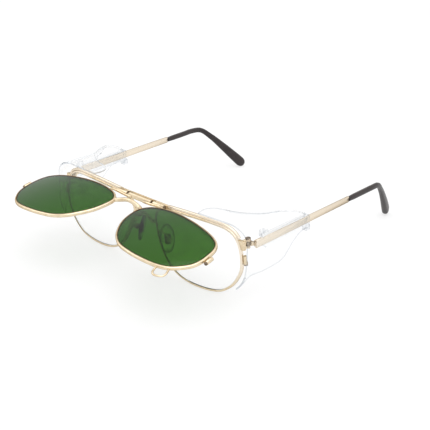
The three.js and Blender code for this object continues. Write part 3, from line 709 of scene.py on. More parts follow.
def wire_tree() -> ShapeTree:
    """Tree that draws a round wire along a path.

    Returns:
        The tree, with inputs for the wire's radius and number of sides.
    """
    tree = ShapeTree("wire_along_path", ("Wire Radius", "Wire Sides"))
    path = tree.made("GeometryNodeMeshToCurve", {"Mesh": tree.size("Path")})
    circle = {"Resolution": tree.size("Wire Sides"), "Radius": tree.size("Wire Radius")}
    section = tree.made("GeometryNodeCurvePrimitiveCircle", circle)
    drawn = {"Curve": path, "Profile Curve": section, "Fill Caps": True}
    tree.close(tree.made("GeometryNodeCurveToMesh", drawn))
    return tree


def screw_tree() -> ShapeTree:
    """Tree that sets a slotted screw on each point, along the point's axis attribute.

    Returns:
        The tree, with inputs for the head, shank and slot.
    """
    sizes = ("Head Radius", "Head Height", "Shank Radius", "Shank Length", "Slot Width", "Slot Depth")
    tree = ShapeTree("slotted_screws", sizes)
    head_radius, head_height, shank_radius, shank_length, slot_width, slot_depth = map(tree.size, sizes)
    head_sides, shank_sides = 32, 20

    def lifted(shape: Socket, height: Socket) -> Socket:
        """A shape moved up."""
        move = tree.made("ShaderNodeCombineXYZ", {"Z": height})
        return tree.made("GeometryNodeTransform", {"Geometry": shape, "Translation": move})

    def bar(radius: Socket, depth: Socket, middle: float, sides: int) -> Socket:
        """Cylinder along Z, with its middle a share of its depth up."""
        shape = tree.made("GeometryNodeMeshCylinder", {"Vertices": sides, "Radius": radius, "Depth": depth})
        return lifted(shape, tree.scaled(depth, middle))

    head = bar(head_radius, head_height, 0.5, head_sides)
    shank = bar(shank_radius, shank_length, -0.5, shank_sides)
    # The slot's cutter reaches past the head at both ends, and half of its depth lies above the head.
    cutter = {"X": tree.scaled(head_radius, 3.0), "Y": slot_width, "Z": tree.scaled(slot_depth, 2.0)}
    block = tree.made("GeometryNodeMeshCube", {"Size": tree.made("ShaderNodeCombineXYZ", cutter)})
    cut = {0: head, 1: lifted(block, head_height)}
    slotted = tree.made("GeometryNodeMeshBoolean", cut, operation="DIFFERENCE")
    whole = tree.add("GeometryNodeJoinGeometry")
    for shape in (slotted, shank):
        tree.link(shape, whole.inputs[0])
    axis = tree.made("GeometryNodeInputNamedAttribute", {"Name": "axis"}, data_type="FLOAT_VECTOR")
    turn = tree.made("FunctionNodeAlignRotationToVector", {"Vector": axis}, axis="Z")
    placed = {"Points": tree.size("Path"), "Instance": whole.outputs[0], "Rotation": turn}
    tree.close(tree.made("GeometryNodeInstanceOnPoints", placed))
    return tree


@dataclass(frozen=True)
class ScrewSizes:
    """One kind of screw or headed pin; the slot is given in shares of the head's radius and height."""

    head_radius: float
    shank_radius: float
    shank_length: float
    head_height: float = 0.5
    slot: Pair = (0.3, 0.6)

    def inputs(self) -> dict[str, float]:
        """Sizes for the tree that sets the screws.

        Returns:
            The tree's inputs by name, in metres.
        """
        return {
            "Head Radius": self.head_radius * MM,
            "Head Height": self.head_height * MM,
            "Shank Radius": self.shank_radius * MM,
            "Shank Length": self.shank_length * MM,
            "Slot Width": self.head_radius * self.slot[0] * MM,
            "Slot Depth": self.head_height * self.slot[1] * MM,
        }


def shown(name: str, data: bpy.types.ID) -> Object:
    """Puts an object in the scene.

    Args:
        name: The object's name.
        data: Its mesh, light or camera.

    Returns:
        The object.
    """
    obj = bpy.data.objects.new(name, data)
    bpy.context.scene.collection.objects.link(obj)
    return obj


class Bench:
    """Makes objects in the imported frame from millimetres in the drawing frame."""

    SEAM = 1e-7
    WELD = 1e-6
    SHARP = math.radians(42)
    FLAT = math.radians(0.6)
    CORNER = math.radians(50)
    EASE_STEPS = 2
    WIRE_SIDES = 20.0

    def __init__(self, nodes: dict[str, Object], shift: Vector) -> None:
        """Sets up the bench.

        Args:
            nodes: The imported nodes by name.
            shift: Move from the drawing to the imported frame.
        """
        self.nodes = nodes
        self.shift = shift
        self.wires = wire_tree()
        self.screws = screw_tree()

    def place(self, point: Vector) -> Vector:
        """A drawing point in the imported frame, in metres."""
        return (point + self.shift) * MM

    def _smooth(self, mesh: bpy.types.Mesh) -> bpy.types.Mesh:
        """Closes seams, turns faces out and shades smooth except at sharp edges.

        Args:
            mesh: The mesh, which is changed.

        Returns:
            The same mesh.
        """
        work = bmesh.new()
        work.from_mesh(mesh)
        bmesh.ops.remove_doubles(work, verts=work.verts, dist=self.SEAM)
        bmesh.ops.recalc_face_normals(work, faces=work.faces)
        work.to_mesh(mesh)
        work.free()
        mesh.shade_smooth()
        mesh.set_sharp_from_angle(angle=self.SHARP)
        return mesh

    def _plain(self, obj: Object) -> Object:
        """Turns an object with modifiers into one with a plain mesh.

        Args:
            obj: The object, which is changed.

        Returns:
            The same object.
        """
        bpy.context.view_layer.update()
        graph = bpy.context.evaluated_depsgraph_get()
        mesh = bpy.data.meshes.new_from_object(obj.evaluated_get(graph))
        obj.modifiers.clear()
        obj.data = self._smooth(mesh)
        return obj

    def _driven(self, obj: Object, tree: ShapeTree, sizes: dict[str, float], finish: Finish) -> Object:
        """Shapes an object by a tree.

        Args:
            obj: Object of the path or the points, which is changed.
            tree: The tree.
            sizes: Its inputs by name, set by their identifiers.
            finish: The finish that it sets.

        Returns:
            The same object, with a plain mesh.
        """
        modifier = obj.modifiers.new("shape", "NODES")
        modifier.node_group = tree.tree
        for key, value in sizes.items():
            modifier[tree.keys[key]] = value
        modifier[tree.keys["Finish"]] = finish.material()
        return self._plain(obj)

    def mesh(self, name: str, points: Sequence[Vector], faces: Sequence[Sequence[int]]) -> Object:
        """Object from drawing points and faces.

        Args:
            name: The object's name.
            points: Drawing points.
            faces: Indices of the points round each face.

        Returns:
            The object.
        """
        made = bpy.data.meshes.new(name)
        made.from_pydata([self.place(point) for point in points], [], [list(face) for face in faces])
        return shown(name, self._smooth(made))

    def skin(self, name: str, rings: Sequence[Ring], loop: bool = False) -> Object:
        """Skin over rings of equal counts.

        Args:
            name: The object's name.
            rings: Rings of drawing points.
            loop: Whether the last ring joins the first; otherwise both ends are capped.

        Returns:
            The object.
        """
        count = len(rings[0])
        faces: list[Sequence[int]] = []
        for here in range(len(rings) if loop else len(rings) - 1):
            there = (here + 1) % len(rings)
            for i in range(count):
                j = (i + 1) % count
                faces.append((here * count + i, here * count + j, there * count + j, there * count + i))
        if not loop:
            faces.append(tuple(range(count)))
            faces.append(tuple(range((len(rings) - 1) * count, len(rings) * count)))
        return self.mesh(name, [point for ring in rings for point in ring], faces)

    def wire(self, name: str, path: Sequence[Vector], radius: float, finish: Finish) -> Object:
        """Round wire along drawing points, drawn by Geometry Nodes.

        Args:
            name: The object's name.
            path: Points along the wire.
            radius: Radius of the wire.
            finish: Its finish.

        Returns:
            The object, with a plain mesh.
        """
        mesh = bpy.data.meshes.new(name)
        edges = [(i, i + 1) for i in range(len(path) - 1)]
        mesh.from_pydata([self.place(point) for point in path], edges, [])
        sizes = {"Wire Radius": radius * MM, "Wire Sides": self.WIRE_SIDES}
        return self._driven(shown(name, mesh), self.wires, sizes, finish)

    def screw_set(self, name: str, sizes: ScrewSizes, seats: Sequence[Seat], finish: Finish) -> Object:
        """Slotted screws of one kind, set by Geometry Nodes.

        Args:
            name: The object's name.
            sizes: The screw's sizes.
            seats: The point under each head and the direction from the tip to the head.
            finish: Their finish.

        Returns:
            The object, with a plain mesh.
        """
        mesh = bpy.data.meshes.new(name)
        mesh.from_pydata([self.place(point) for point, _ in seats], [], [])
        axis = mesh.attributes.new("axis", "FLOAT_VECTOR", "POINT")
        for item, (_, way) in zip(axis.data, seats):
            item.vector = way
        return self._driven(shown(name, mesh), self.screws, sizes.inputs(), finish)

    def eased(self, node: str, ease: Ease) -> Object:
        """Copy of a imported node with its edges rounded.

        Args:
            node: The node's name.
            ease: Width of the rounding.

        Returns:
            The object, with a plain mesh.
        """
        mesh = self.nodes[node].data.copy()
        work = bmesh.new()
        work.from_mesh(mesh)
        bmesh.ops.remove_doubles(work, verts=work.verts, dist=self.WELD)
        bmesh.ops.dissolve_limit(
            work, angle_limit=self.FLAT, verts=work.verts, edges=work.edges, delimit={"NORMAL"}
        )
        work.to_mesh(mesh)
        work.free()
        obj = shown(f"{node}_eased", mesh)
        rounding = obj.modifiers.new("edges", "BEVEL")
        rounding.width = ease.value * MM
        rounding.segments = self.EASE_STEPS
        rounding.limit_method = "ANGLE"
        rounding.angle_limit = self.CORNER
        return self._plain(obj)

    def mark(self, obj: Object, mark: Mark, spots: Sequence[Vector], reach: Pair) -> None:
        """Writes a mark on the vertices: 1 near the spots, falling to 0 away from them.

        Args:
            obj: The object.
            mark: The mark.
            spots: Drawing points.
            reach: Distances where the fall starts and ends.
        """
        near = KDTree(len(spots))
        for index, spot in enumerate(spots):
            near.insert(self.place(spot), index)
        near.balance()
        values = obj.data.attributes.new(mark.value, "FLOAT", "POINT").data
        for vertex, item in zip(obj.data.vertices, values):
            item.value = 1 - smoothstep(near.find(vertex.co)[2] / MM, *reach)

    def score(self, obj: Object, spots: Sequence[Vector]) -> None:
        """Cuts an edge loop across the X of each drawing point, so that a mark can end there.

        Args:
            obj: The object.
            spots: Drawing points.
        """
        work = bmesh.new()
        work.from_mesh(obj.data)
        for spot in spots:
            parts = [*work.verts, *work.edges, *work.faces]
            bmesh.ops.bisect_plane(work, geom=parts, plane_co=self.place(spot), plane_no=(1, 0, 0))
        work.to_mesh(obj.data)
        work.free()

    def union(self, first: Object, second: Object) -> Object:
        """Joins two closed objects into one.

        Args:
            first: The object that stays.
            second: The object that goes.

        Returns:
            The first object.
        """
        joining = first.modifiers.new("join", "BOOLEAN")
        joining.operation = "UNION"
        joining.solver = "MANIFOLD"
        joining.object = second
        self._plain(first)
        bpy.data.objects.remove(second)
        return first


@dataclass
class Piece:
    """A finished object, the body that it rides on and the nodes that it stands for."""

    obj: Object
    body: str
    nodes: tuple[str, ...]
    finish: Finish

    def dress(self) -> None:
        """Gives the object its material and hands it to the frame."""
        self.obj.data.materials.clear()
        self.obj.data.materials.append(self.finish.material())
        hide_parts(*self.nodes)
        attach(self.obj, self.body)
        LOG.info("%s rides on %s, %d faces", self.obj.name, self.body, len(self.obj.data.polygons))


@dataclass
class SubAssembly(ABC):
    """Pieces that are built and dressed together and ride on one body."""

    pieces: list[Piece] = field(default_factory=list, init=False)

    @property
    @abstractmethod
    def body(self) -> str:
        """Name of the body."""

    @abstractmethod
    def build(self, bench: Bench) -> None:
        """Makes the meshes."""

    def dress(self) -> None:
        """Gives every piece its finish and its body."""
        for piece in self.pieces:
            piece.dress()

    def keep(self, obj: Object, finish: Finish, *nodes: str) -> None:
        """Adds a finished object that stands for nodes."""
        self.pieces.append(Piece(obj, self.body, nodes, finish))

    def keep_eased(self, bench: Bench, node: str, finish: Finish, ease: Ease) -> Object:
        """Adds a copy of a node with rounded edges.

        Args:
            bench: Where it is made.
            node: The node's name.
            finish: Its finish.
            ease: Width of the rounding.

        Returns:
            The copy.
        """
        copy = bench.eased(node, ease)
        self.keep(copy, finish, node)
        return copy

    def keep_wire(self, bench: Bench, name: str, path: Sequence[Vector], radius: float, node: str) -> None:
        """Adds a round gold wire that stands for a node."""
        self.keep(bench.wire(name, path, radius, GOLD), GOLD, node)

    def keep_screws(
        self, bench: Bench, name: str, sizes: ScrewSizes, seats: Sequence[Seat], *nodes: str
    ) -> None:
        """Adds slotted steel screws that stand for nodes."""
        self.keep(bench.screw_set(name, sizes, seats, STEEL), STEEL, *nodes)


# Drawing of the glasses


@dataclass(frozen=True)
class RimSizes:
    """Eye wire and what is soldered to it."""

    wall: float = 0.65
    depth: float = 1.7
    rounding: float = 0.5
    groove: float = 0.5
    lip: Pair = (0.08, 0.1)
    fit: float = 0.15
    solder: float = 0.15
    polish: float = 0.02
    lock_radius: float = 1.05
    lock_length: float = 4.2
    lock_head: float = 0.85
    lock_screw_radius: float = 0.45

    @property
    def outer(self) -> float:
        """From the lens edge to the rim's outer wall."""
        return self.fit + self.wall

    @property
    def root(self) -> float:
        """From the lens edge to what is soldered on the rim."""
        return self.outer + self.solder

    @property
    def lock_screw(self) -> ScrewSizes:
        """The screw that closes the rim."""
        return ScrewSizes(self.lock_radius * self.lock_head, self.lock_screw_radius, self.lock_length)


@dataclass(frozen=True)
class EyeSizes:
    """Outline, box and place of one lens; the outline is in shares of the box."""

    outline: tuple[Pair, ...]
    width: float
    height: float
    bridge: float
    forward: float
    middle: float
    thickness: float
    radius: float = 140.0
    wrap: float = 2.5


@dataclass(frozen=True)
class BridgeSizes:
    """Wire between two rims: its root on the lens box, and the rise and bow of its crown from there.

    The bend beside the root is a share of the gap between the lenses, and the ends sink into the rims.
    """

    root: Pair
    radius: float
    rise: float
    bow: float
    bend: float
    sink: float = 0.5


class Eye:
    """One eye: an outline on the lens sphere, turned back by the wrap and set beside the nose."""

    STEPS = 176
    SEARCH_STEPS = 400
    BRIDGE_STEPS = 72
    RIM_TURN = (0, 30, 60, 90)
    LENS_SHARES = (0.02, 0.12, 0.25, 0.4, 0.55, 0.7, 0.82, 0.92, 0.98, 1.0)

    def __init__(self, sizes: EyeSizes, rim: RimSizes) -> None:
        """Draws the outline.

        Args:
            sizes: Outline, box and place of the lens.
            rim: The eye wire round it.
        """
        self.sizes = sizes
        self.rim = rim
        self.curve = SmoothPath([self._boxed(spot) for spot in sizes.outline], closed=True)
        centre = ((sizes.bridge + sizes.width) / 2, sizes.forward, sizes.middle)
        self.frame = Matrix.Translation(centre) @ Matrix.Rotation(math.radians(sizes.wrap), 4, "Z")

    def _boxed(self, spot: Pair) -> Vector:
        """A spot given in shares of the lens box, in the eye's own plane."""
        return Vector(((spot[0] - 0.5) * self.sizes.width, 0, (spot[1] - 0.5) * self.sizes.height))

    def _outward(self, s: float) -> Vector:
        """Direction out of the outline, in the eye's own plane."""
        along = self.curve.heading(s)
        return Vector((along.z, 0, -along.x))

    def place(self, s: float, out: float = 0.0, behind: float = 0.0, share: float = 1.0) -> Vector:
        """A point of the eye.

        Args:
            s: Share of the outline.
            out: Distance out from it.
            behind: Distance behind the lens surface.
            share: Scale towards the middle.

        Returns:
            The drawing point.
        """
        point = (self.curve.point(s) + self._outward(s) * out) * share
        point.y = (point.x**2 + point.z**2) / (2 * self.sizes.radius) + behind
        return self.frame @ point

    def normal(self, s: float) -> Vector:
        """Direction out of the outline."""
        return self.frame.to_3x3() @ self._outward(s)

    def nearest(self, spot: Pair) -> float:
        """Share of the outline nearest to a spot given in shares of the lens box.

        Args:
            spot: The spot.

        Returns:
            The share.
        """
        target = self._boxed(spot)
        shares = (i / self.SEARCH_STEPS for i in range(self.SEARCH_STEPS))
        return min(shares, key=lambda s: (self.curve.point(s) - target).length)

    def port(self, spot: Pair, out: float) -> Vector:
        """Point out from the outline, nearest to a spot given in shares of the lens box."""
        return self.place(self.nearest(spot), out)

    def loop(self, out: float, behind: float, share: float = 1.0) -> Ring:
        """Points all round the outline."""
        return [self.place(i / self.STEPS, out, behind, share) for i in range(self.STEPS)]

    def rim_rings(self) -> list[Ring]:
        """Sections of the eye wire all round, grooved inside and rounded outside.

        Returns:
            The rings.
        """
        rim = self.rim
        half, lip, outer = rim.depth / 2, rim.fit - rim.groove, rim.outer - rim.polish
        mouth, slope = rim.lip
        back = []
        for angle in map(math.radians, self.RIM_TURN):
            out, behind = rim.rounding * (1 - math.cos(angle)), rim.rounding * (1 - math.sin(angle))
            back.append((outer - out, half - behind))
        inside = [(lip + mouth, half), (lip, half - slope)]
        outside = [(out, -behind) for out, behind in reversed(inside)]
        front = [(out, -behind) for out, behind in reversed(back)]
        section = [*back, *inside, (rim.fit, 0.0), *outside, *front]
        steps = range(self.STEPS)
        return [[self.place(i / self.STEPS, out, behind) for out, behind in section] for i in steps]

    def crest(self) -> Ring:
        """The sharp line round the bevelled edge of the lens."""
        return self.loop(-self.rim.polish, 0.0)

    def lips(self) -> Ring:
        """The inner edges of the eye wire, in front of the lens and behind it."""
        rim = self.rim
        return [point for way in (-0.5, 0.5) for point in self.loop(rim.fit - rim.groove, rim.depth * way)]

    def lens_rings(self) -> list[Ring]:
        """Rings over the back, bevelled edge and front of the lens.

        Returns:
            The rings.
        """
        half = self.sizes.thickness / 2
        bevel = -self.rim.groove * self.sizes.thickness / self.rim.depth
        back = [self.loop(bevel, half, share) for share in self.LENS_SHARES]
        front = [self.loop(bevel, -half, share) for share in reversed(self.LENS_SHARES)]
        return [*back, self.crest(), *front]

    def lock_seat(self, spot: Pair) -> Seat:
        """Seat of the closing screw.

        Args:
            spot: Place of the lock in shares of the lens box.

        Returns:
            The point under the screw's head, and the way from its tip to its head.
        """
        s, rim = self.nearest(spot), self.rim
        along = (self.frame.to_3x3() @ self.curve.heading(s)).normalized()
        middle = self.place(s, rim.root + rim.lock_radius)
        return middle - along * (rim.lock_length / 2 + rim.solder), -along

    def bridge_path(self, wire: BridgeSizes) -> list[Vector]:
        """Line of a wire from the right rim over the nose to the left rim.

        Args:
            wire: The wire's sizes.

        Returns:
            Points along the line.
        """
        s = self.nearest(wire.root)
        root = self.place(s, self.rim.root)
        bend = root + self.normal(s) * self.sizes.bridge * wire.bend
        crown = Vector((0, root.y - wire.bow, root.z + wire.rise))
        path = SmoothPath([*Side.RIGHT.ring((root, bend)), crown, bend, root])
        return lengthened(path.spots(self.BRIDGE_STEPS), wire.sink)


CLEAR_OUTLINE: tuple[Pair, ...] = (
    (0, 0.78), (0.017, 0.65), (0.05, 0.476), (0.108, 0.3), (0.18, 0.157), (0.3, 0.048), (0.429, 0.006),
    (0.56, 0), (0.685, 0.016), (0.776, 0.05), (0.849, 0.117), (0.916, 0.21), (0.969, 0.34), (0.998, 0.457),
    (1, 0.595), (0.985, 0.732), (0.952, 0.85), (0.906, 0.926), (0.829, 0.976), (0.704, 0.996), (0.55, 1),
    (0.396, 0.993), (0.262, 0.978), (0.156, 0.957), (0.065, 0.9),
)
GREEN_OUTLINE: tuple[Pair, ...] = (
    (0, 0.747), (0.03, 0.49), (0.112, 0.272), (0.18, 0.158), (0.28, 0.063), (0.412, 0.016), (0.552, 0),
    (0.742, 0.024), (0.852, 0.088), (0.927, 0.192), (0.98, 0.311), (1, 0.44), (0.997, 0.589), (0.987, 0.688),
    (0.952, 0.797), (0.892, 0.861), (0.802, 0.908), (0.652, 0.953), (0.492, 0.985), (0.312, 1),
    (0.172, 0.983), (0.072, 0.936), (0.012, 0.846),
)


@dataclass
class FrontFrame(SubAssembly):
    """Rims, clear lenses, brow bar, bridge, end pieces and the fixed half of the flip hinge.

    Places on the rims are shares of the lens box. Painted shade, painted edge shade and painted highlights
    are marks, each given by the distances where it starts to fade and where it ends.
    """

    BAR_STEPS = 72
    BAR_TRIM = 0.001
    SHADE_SPOTS = 12

    rim: RimSizes = RimSizes()
    lens_width: float = 54.7
    lens_height: float = 36.3
    lens_gap: float = 15.8
    lens_thickness: float = 1.5
    bridge: BridgeSizes = BridgeSizes(root=(0.005, 0.7), radius=0.95, rise=2.4, bow=0.95, bend=0.12)
    bar_height: float = 1.1
    bar_depth: float = 1.4
    bar_round: float = 0.4
    bar_start: Pair = (0.156, 0.957)
    bar_end: Pair = (0.965, 0.795)
    brow_peak: Pair = (0.7, 1.0)
    end_port: Pair = (0.966, 0.79)
    end_reach: float = 2.6
    end_height: float = 4.6
    end_thickness: float = 1.6
    lock_place: Pair = (1.0, 0.605)
    knuckle_radius: float = 1.3
    knuckle_span: Pair = (-0.9, 0.6)
    temple_thickness: float = 1.2
    hinge_inset: float = 2.9
    hinge_back: float = 2.8
    hinge_screw: ScrewSizes = ScrewSizes(head_radius=1.17, shank_radius=0.55, shank_length=4.65)
    hinge_screw_up: float = 2.4
    left_cant: float = 5.0
    flip_forward: float = 3.06
    flip_above: float = 0.5
    pin_head: float = 1.04
    pin_radius: float = 0.55
    pin_reach: float = 16.5
    pin_gap: float = 0.15
    slit: Pair = (8.2, 8.9)
    slit_margin: float = 0.8
    slit_shade: Pair = (0.35, 0.8)
    hinge_shade: Pair = (0.9, 1.8)
    glass_edge: Pair = (0.1, 0.8)
    bar_brushing: Pair = (4.0, 6.0)
    rim_brushing: Pair = (16.0, 26.0)
    eye: Eye = field(init=False)

    def __post_init__(self) -> None:
        """Draws the eye and the places that other pieces take."""
        sizes = EyeSizes(
            CLEAR_OUTLINE,
            width=self.lens_width,
            height=self.lens_height,
            bridge=self.lens_gap,
            forward=0.0,
            middle=self.rim.outer + self.lens_height / 2,
            thickness=self.lens_thickness,
        )
        self.eye = Eye(sizes, self.rim)
        self.bar_offset = self.rim.root + self.bar_height / 2
        bar_inner = self.eye.port(self.bar_start, self.bar_offset)
        self.flip_axis = Vector((0, bar_inner.y - self.flip_forward, bar_inner.z + self.flip_above))
        port = self.eye.port(self.end_port, self.rim.outer)
        back = port.y + self.end_thickness / 2 + self.hinge_back
        self.hinge = Vector((port.x + self.end_reach - self.knuckle_radius, back, port.z))
        self.brow_top = self.eye.port(self.brow_peak, self.bar_offset + self.bar_height / 2).z

    @property
    def body(self) -> str:
        """Name of the body."""
        return Body.FRONT.value

    def _bar_rings(self) -> list[Ring]:
        """Sections of the brow bar, cut off above the end pieces.

        Returns:
            Rings from the right end to the left.
        """
        low = self.hinge.z + self.end_height / 2 + self.rim.solder
        start, stop = self.eye.nearest(self.bar_start), self.eye.nearest(self.bar_end)
        while self.eye.place(stop, self.rim.outer).z < low:
            stop += self.BAR_TRIM
        section = rounded_bar(self.bar_height + self.rim.solder, self.bar_depth, self.bar_round, steps=3)
        middle = self.bar_offset - self.rim.solder / 2
        half = []
        for i in range(self.BAR_STEPS):
            s = lerp(start, stop, i / (self.BAR_STEPS - 1))
            half.append([self.eye.place(s, middle + out, behind) for out, behind in section])
        return [*Side.RIGHT.rings(half[::-1]), *half]

    def _hinge_way(self, side: Side) -> Vector:
        """Direction up the axis of a temple hinge."""
        cant = math.radians(self.left_cant if side is Side.LEFT else 0.0)
        return Vector((0, math.sin(cant), math.cos(cant)))

    def hinge_line(self, side: Side) -> list[Vector]:
        """Spots along the axis of a temple hinge, over the height of its middle knuckle.

        Args:
            side: The hinge's side.

        Returns:
            The spots.
        """
        way, last = self._hinge_way(side), self.SHADE_SPOTS - 1
        heights = [lerp(*self.knuckle_span, i / last) for i in range(self.SHADE_SPOTS)]
        return [side.at(self.hinge) + way * height for height in heights]

    def shade_slits(self, bench: Bench, obj: Object) -> None:
        """Paints shade on a piece of the flip hinge beside the slits between the knuckles.

        Args:
            bench: Where it is made.
            obj: The piece.
        """
        ends = (self.slit[0] - self.slit_margin, self.slit[1] + self.slit_margin)
        borders = [Vector((way * x, 0, 0)) for way in (-1, 1) for x in ends]
        slits = [Vector((way * x, 0, 0)) for way in (-1, 1) for x in self.slit]
        bench.score(obj, borders)
        turns = [2 * math.pi * i / self.SHADE_SPOTS for i in range(self.SHADE_SPOTS)]
        around = [Vector((0, math.cos(a), math.sin(a))) * self.knuckle_radius for a in turns]
        spots = [self.flip_axis + step + slit for slit in slits for step in around]
        # Painted shade in and beside the slits between the knuckles.
        bench.mark(obj, Mark.GRIME, spots, self.slit_shade)

    def _screws(self, bench: Bench) -> None:
        """Adds the temple hinge screws, the rim closing screws and the flip hinge pin.

        Args:
            bench: Where they are made.
        """
        ways = {side: self._hinge_way(side) for side in Side}
        seats = [(side.at(self.hinge) + way * self.hinge_screw_up, way) for side, way in ways.items()]
        self.keep_screws(bench, "hinge_screws", self.hinge_screw, seats, *Side.both("hinge_screw"))
        under, up = self.eye.lock_seat(self.lock_place)
        seats = [(side.at(under), side.at(up)) for side in Side]
        self.keep_screws(bench, "rim_lock_screws", self.rim.lock_screw, seats, *Side.both("rim_lock_screw"))
        seat = self.flip_axis + Vector((self.pin_reach + self.pin_gap, 0, 0))
        pin = ScrewSizes(self.pin_head, self.pin_radius, 2 * self.pin_reach + self.pin_gap)
        self.keep_screws(bench, "flip_pin", pin, [(seat, Vector((1, 0, 0)))], "flip_hinge_pin")

    def build(self, bench: Bench) -> None:
        """Makes the meshes.

        Args:
            bench: Where they are made.
        """
        eye = self.eye
        for side in Side:
            tag = side.tag
            wire = bench.skin(f"rim_wire_{tag}", side.rings(eye.rim_rings()), loop=True)
            # Painted highlight on the rim, strongest near the temple hinge.
            bench.mark(wire, Mark.BRUSHING, [side.at(self.hinge)], self.rim_brushing)
            self.keep(wire, GOLD, f"rim_{tag}")
            glass = bench.skin(f"clear_glass_{tag}", side.rings(eye.lens_rings()))
            # Painted shade along the clear lens's edge.
            bench.mark(glass, Mark.EDGE, side.ring(eye.crest()), self.glass_edge)
            self.keep(glass, CLEAR_GLASS, f"clear_lens_{tag}")
            self.keep_eased(bench, f"rim_lock_{tag}", GOLD, Ease.CORNER)
            corner = self.keep_eased(bench, f"end_piece_{tag}", GOLD, Ease.CORNER)
            # Painted shade round the temple hinge knuckles.
            bench.mark(corner, Mark.GRIME, self.hinge_line(side), self.hinge_shade)
            self.keep_eased(bench, f"pad_arm_{tag}", GOLD, Ease.FORK)
        rings = self._bar_rings()
        bar = bench.skin("brow_bar_formed", rings)
        # Painted highlight at both ends of the brow bar.
        bench.mark(bar, Mark.BRUSHING, [ring[0] for ring in rings], self.bar_brushing)
        self.keep(bar, GOLD, "brow_bar")
        path = eye.bridge_path(self.bridge)
        self.keep_wire(bench, "nose_bridge_wire", path, self.bridge.radius, "nose_bridge")
        plate = self.keep_eased(bench, "flip_hinge_plate", GOLD, Ease.HINGE)
        # Painted shade beside the hinge slits.
        self.shade_slits(bench, plate)
        self._screws(bench)


@dataclass
class FlipFront(SubAssembly):
    """Green lenses in their rims, with the moving half of the flip hinge, its bridge and lift loop."""

    LOOP_STEPS = 96

    front: FrontFrame
    raised: float = 79.5
    lens_width: float = 54.2
    lens_height: float = 35.3
    lens_gap: float = 18.3
    lens_thickness: float = 1.5
    lens_drop: float = 3.7
    lens_forward: float = 3.05
    bridge: BridgeSizes = BridgeSizes(root=(0.012, 0.846), radius=1.05, rise=1.3, bow=1.8, bend=0.1)
    lock_place: Pair = (1.0, 0.52)
    loop_place: Pair = (0.8, 0.055)
    loop_width: float = 6.8
    loop_drop: float = 5.76
    loop_radius: float = 0.5
    loop_corner: Pair = (0.2, 0.68)
    loop_sink: float = 0.4
    lip_shade: Pair = (0.25, 0.6)
    glass_edge: Pair = (0.6, 1.3)
    eye: Eye = field(init=False)

    def __post_init__(self) -> None:
        """Draws the green eye and the raised frame."""
        sizes = EyeSizes(
            GREEN_OUTLINE,
            width=self.lens_width,
            height=self.lens_height,
            bridge=self.lens_gap,
            forward=-self.lens_forward,
            middle=-(self.lens_drop + self.lens_height / 2),
            thickness=self.lens_thickness,
        )
        self.eye = Eye(sizes, self.front.rim)
        turn = Matrix.Rotation(math.radians(-self.raised), 4, "X")
        self.frame = Matrix.Translation(self.front.flip_axis) @ turn

    @property
    def body(self) -> str:
        """Name of the body."""
        return Body.FLIP.value

    def _raise(self, points: Sequence[Vector], side: Side = Side.LEFT) -> Ring:
        """Points of the flip front's own frame, on a side, in the drawing frame."""
        return [self.frame @ side.at(point) for point in points]

    def _loop_path(self) -> list[Vector]:
        """Line of the lift loop.

        Returns:
            Points along the line, in the flip front's own frame.
        """
        middle = self.eye.nearest(self.loop_place)
        reach = (self.loop_width - 2 * self.loop_radius) / 2 / self.eye.curve.lengths[-1]
        ends = (middle - reach, middle + reach)
        roots = [self.eye.place(s, self.front.rim.root) for s in ends]
        legs = [root + self.eye.normal(s) * self.loop_radius for root, s in zip(roots, ends)]
        down = self.eye.normal(middle)
        inset, share = self.loop_corner
        corners = [root + down * self.loop_drop * share for root in roots]
        low = down * (self.loop_drop - self.loop_radius)
        feet = [root.lerp(other, inset) + low for root, other in zip(roots, reversed(roots))]
        path = SmoothPath([roots[0], legs[0], corners[0], *feet, corners[1], legs[1], roots[1]])
        return lengthened(path.spots(self.LOOP_STEPS), self.loop_sink)

    def build(self, bench: Bench) -> None:
        """Makes the meshes.

        Args:
            bench: Where they are made.
        """
        eye = self.eye
        under, up = eye.lock_seat(self.lock_place)
        seats = []
        for side in Side:
            tag = side.tag
            rings = [self._raise(ring, side) for ring in eye.rim_rings()]
            wire = bench.skin(f"flip_rim_wire_{tag}", rings, loop=True)
            # Painted shade on the inner walls of the flip rims beside the lens.
            bench.mark(wire, Mark.GRIME, self._raise(eye.lips(), side), self.lip_shade)
            self.keep(wire, GOLD, f"flip_rim_{tag}")
            rings = [self._raise(ring, side) for ring in eye.lens_rings()]
            glass = bench.skin(f"green_glass_{tag}", rings)
            # Painted shade along the green lens's edge.
            bench.mark(glass, Mark.EDGE, self._raise(eye.crest(), side), self.glass_edge)
            self.keep(glass, GREEN_GLASS, f"green_lens_{tag}")
            self.keep_eased(bench, f"flip_rim_lock_{tag}", GOLD, Ease.BARREL)
            washer = self.keep_eased(bench, f"flip_washer_{tag}", STEEL, Ease.WASHER)
            # Painted shade beside the hinge slits.
            self.front.shade_slits(bench, washer)
            seats.append((self.frame @ side.at(under), self.frame.to_3x3() @ side.at(up)))
        screw = self.front.rim.lock_screw
        self.keep_screws(bench, "flip_lock_screws", screw, seats, *Side.both("flip_lock_screw"))
        path = self._raise(eye.bridge_path(self.bridge))
        self.keep_wire(bench, "flip_bridge_wire", path, self.bridge.radius, "flip_bridge")
        path = self._raise(self._loop_path())
        self.keep_wire(bench, "lift_loop_wire", path, self.loop_radius, "flip_lift_loop")
        barrel = self.keep_eased(bench, "flip_hinge_barrel", GOLD, Ease.HINGE)
        # Painted shade beside the hinge slits.
        self.front.shade_slits(bench, barrel)


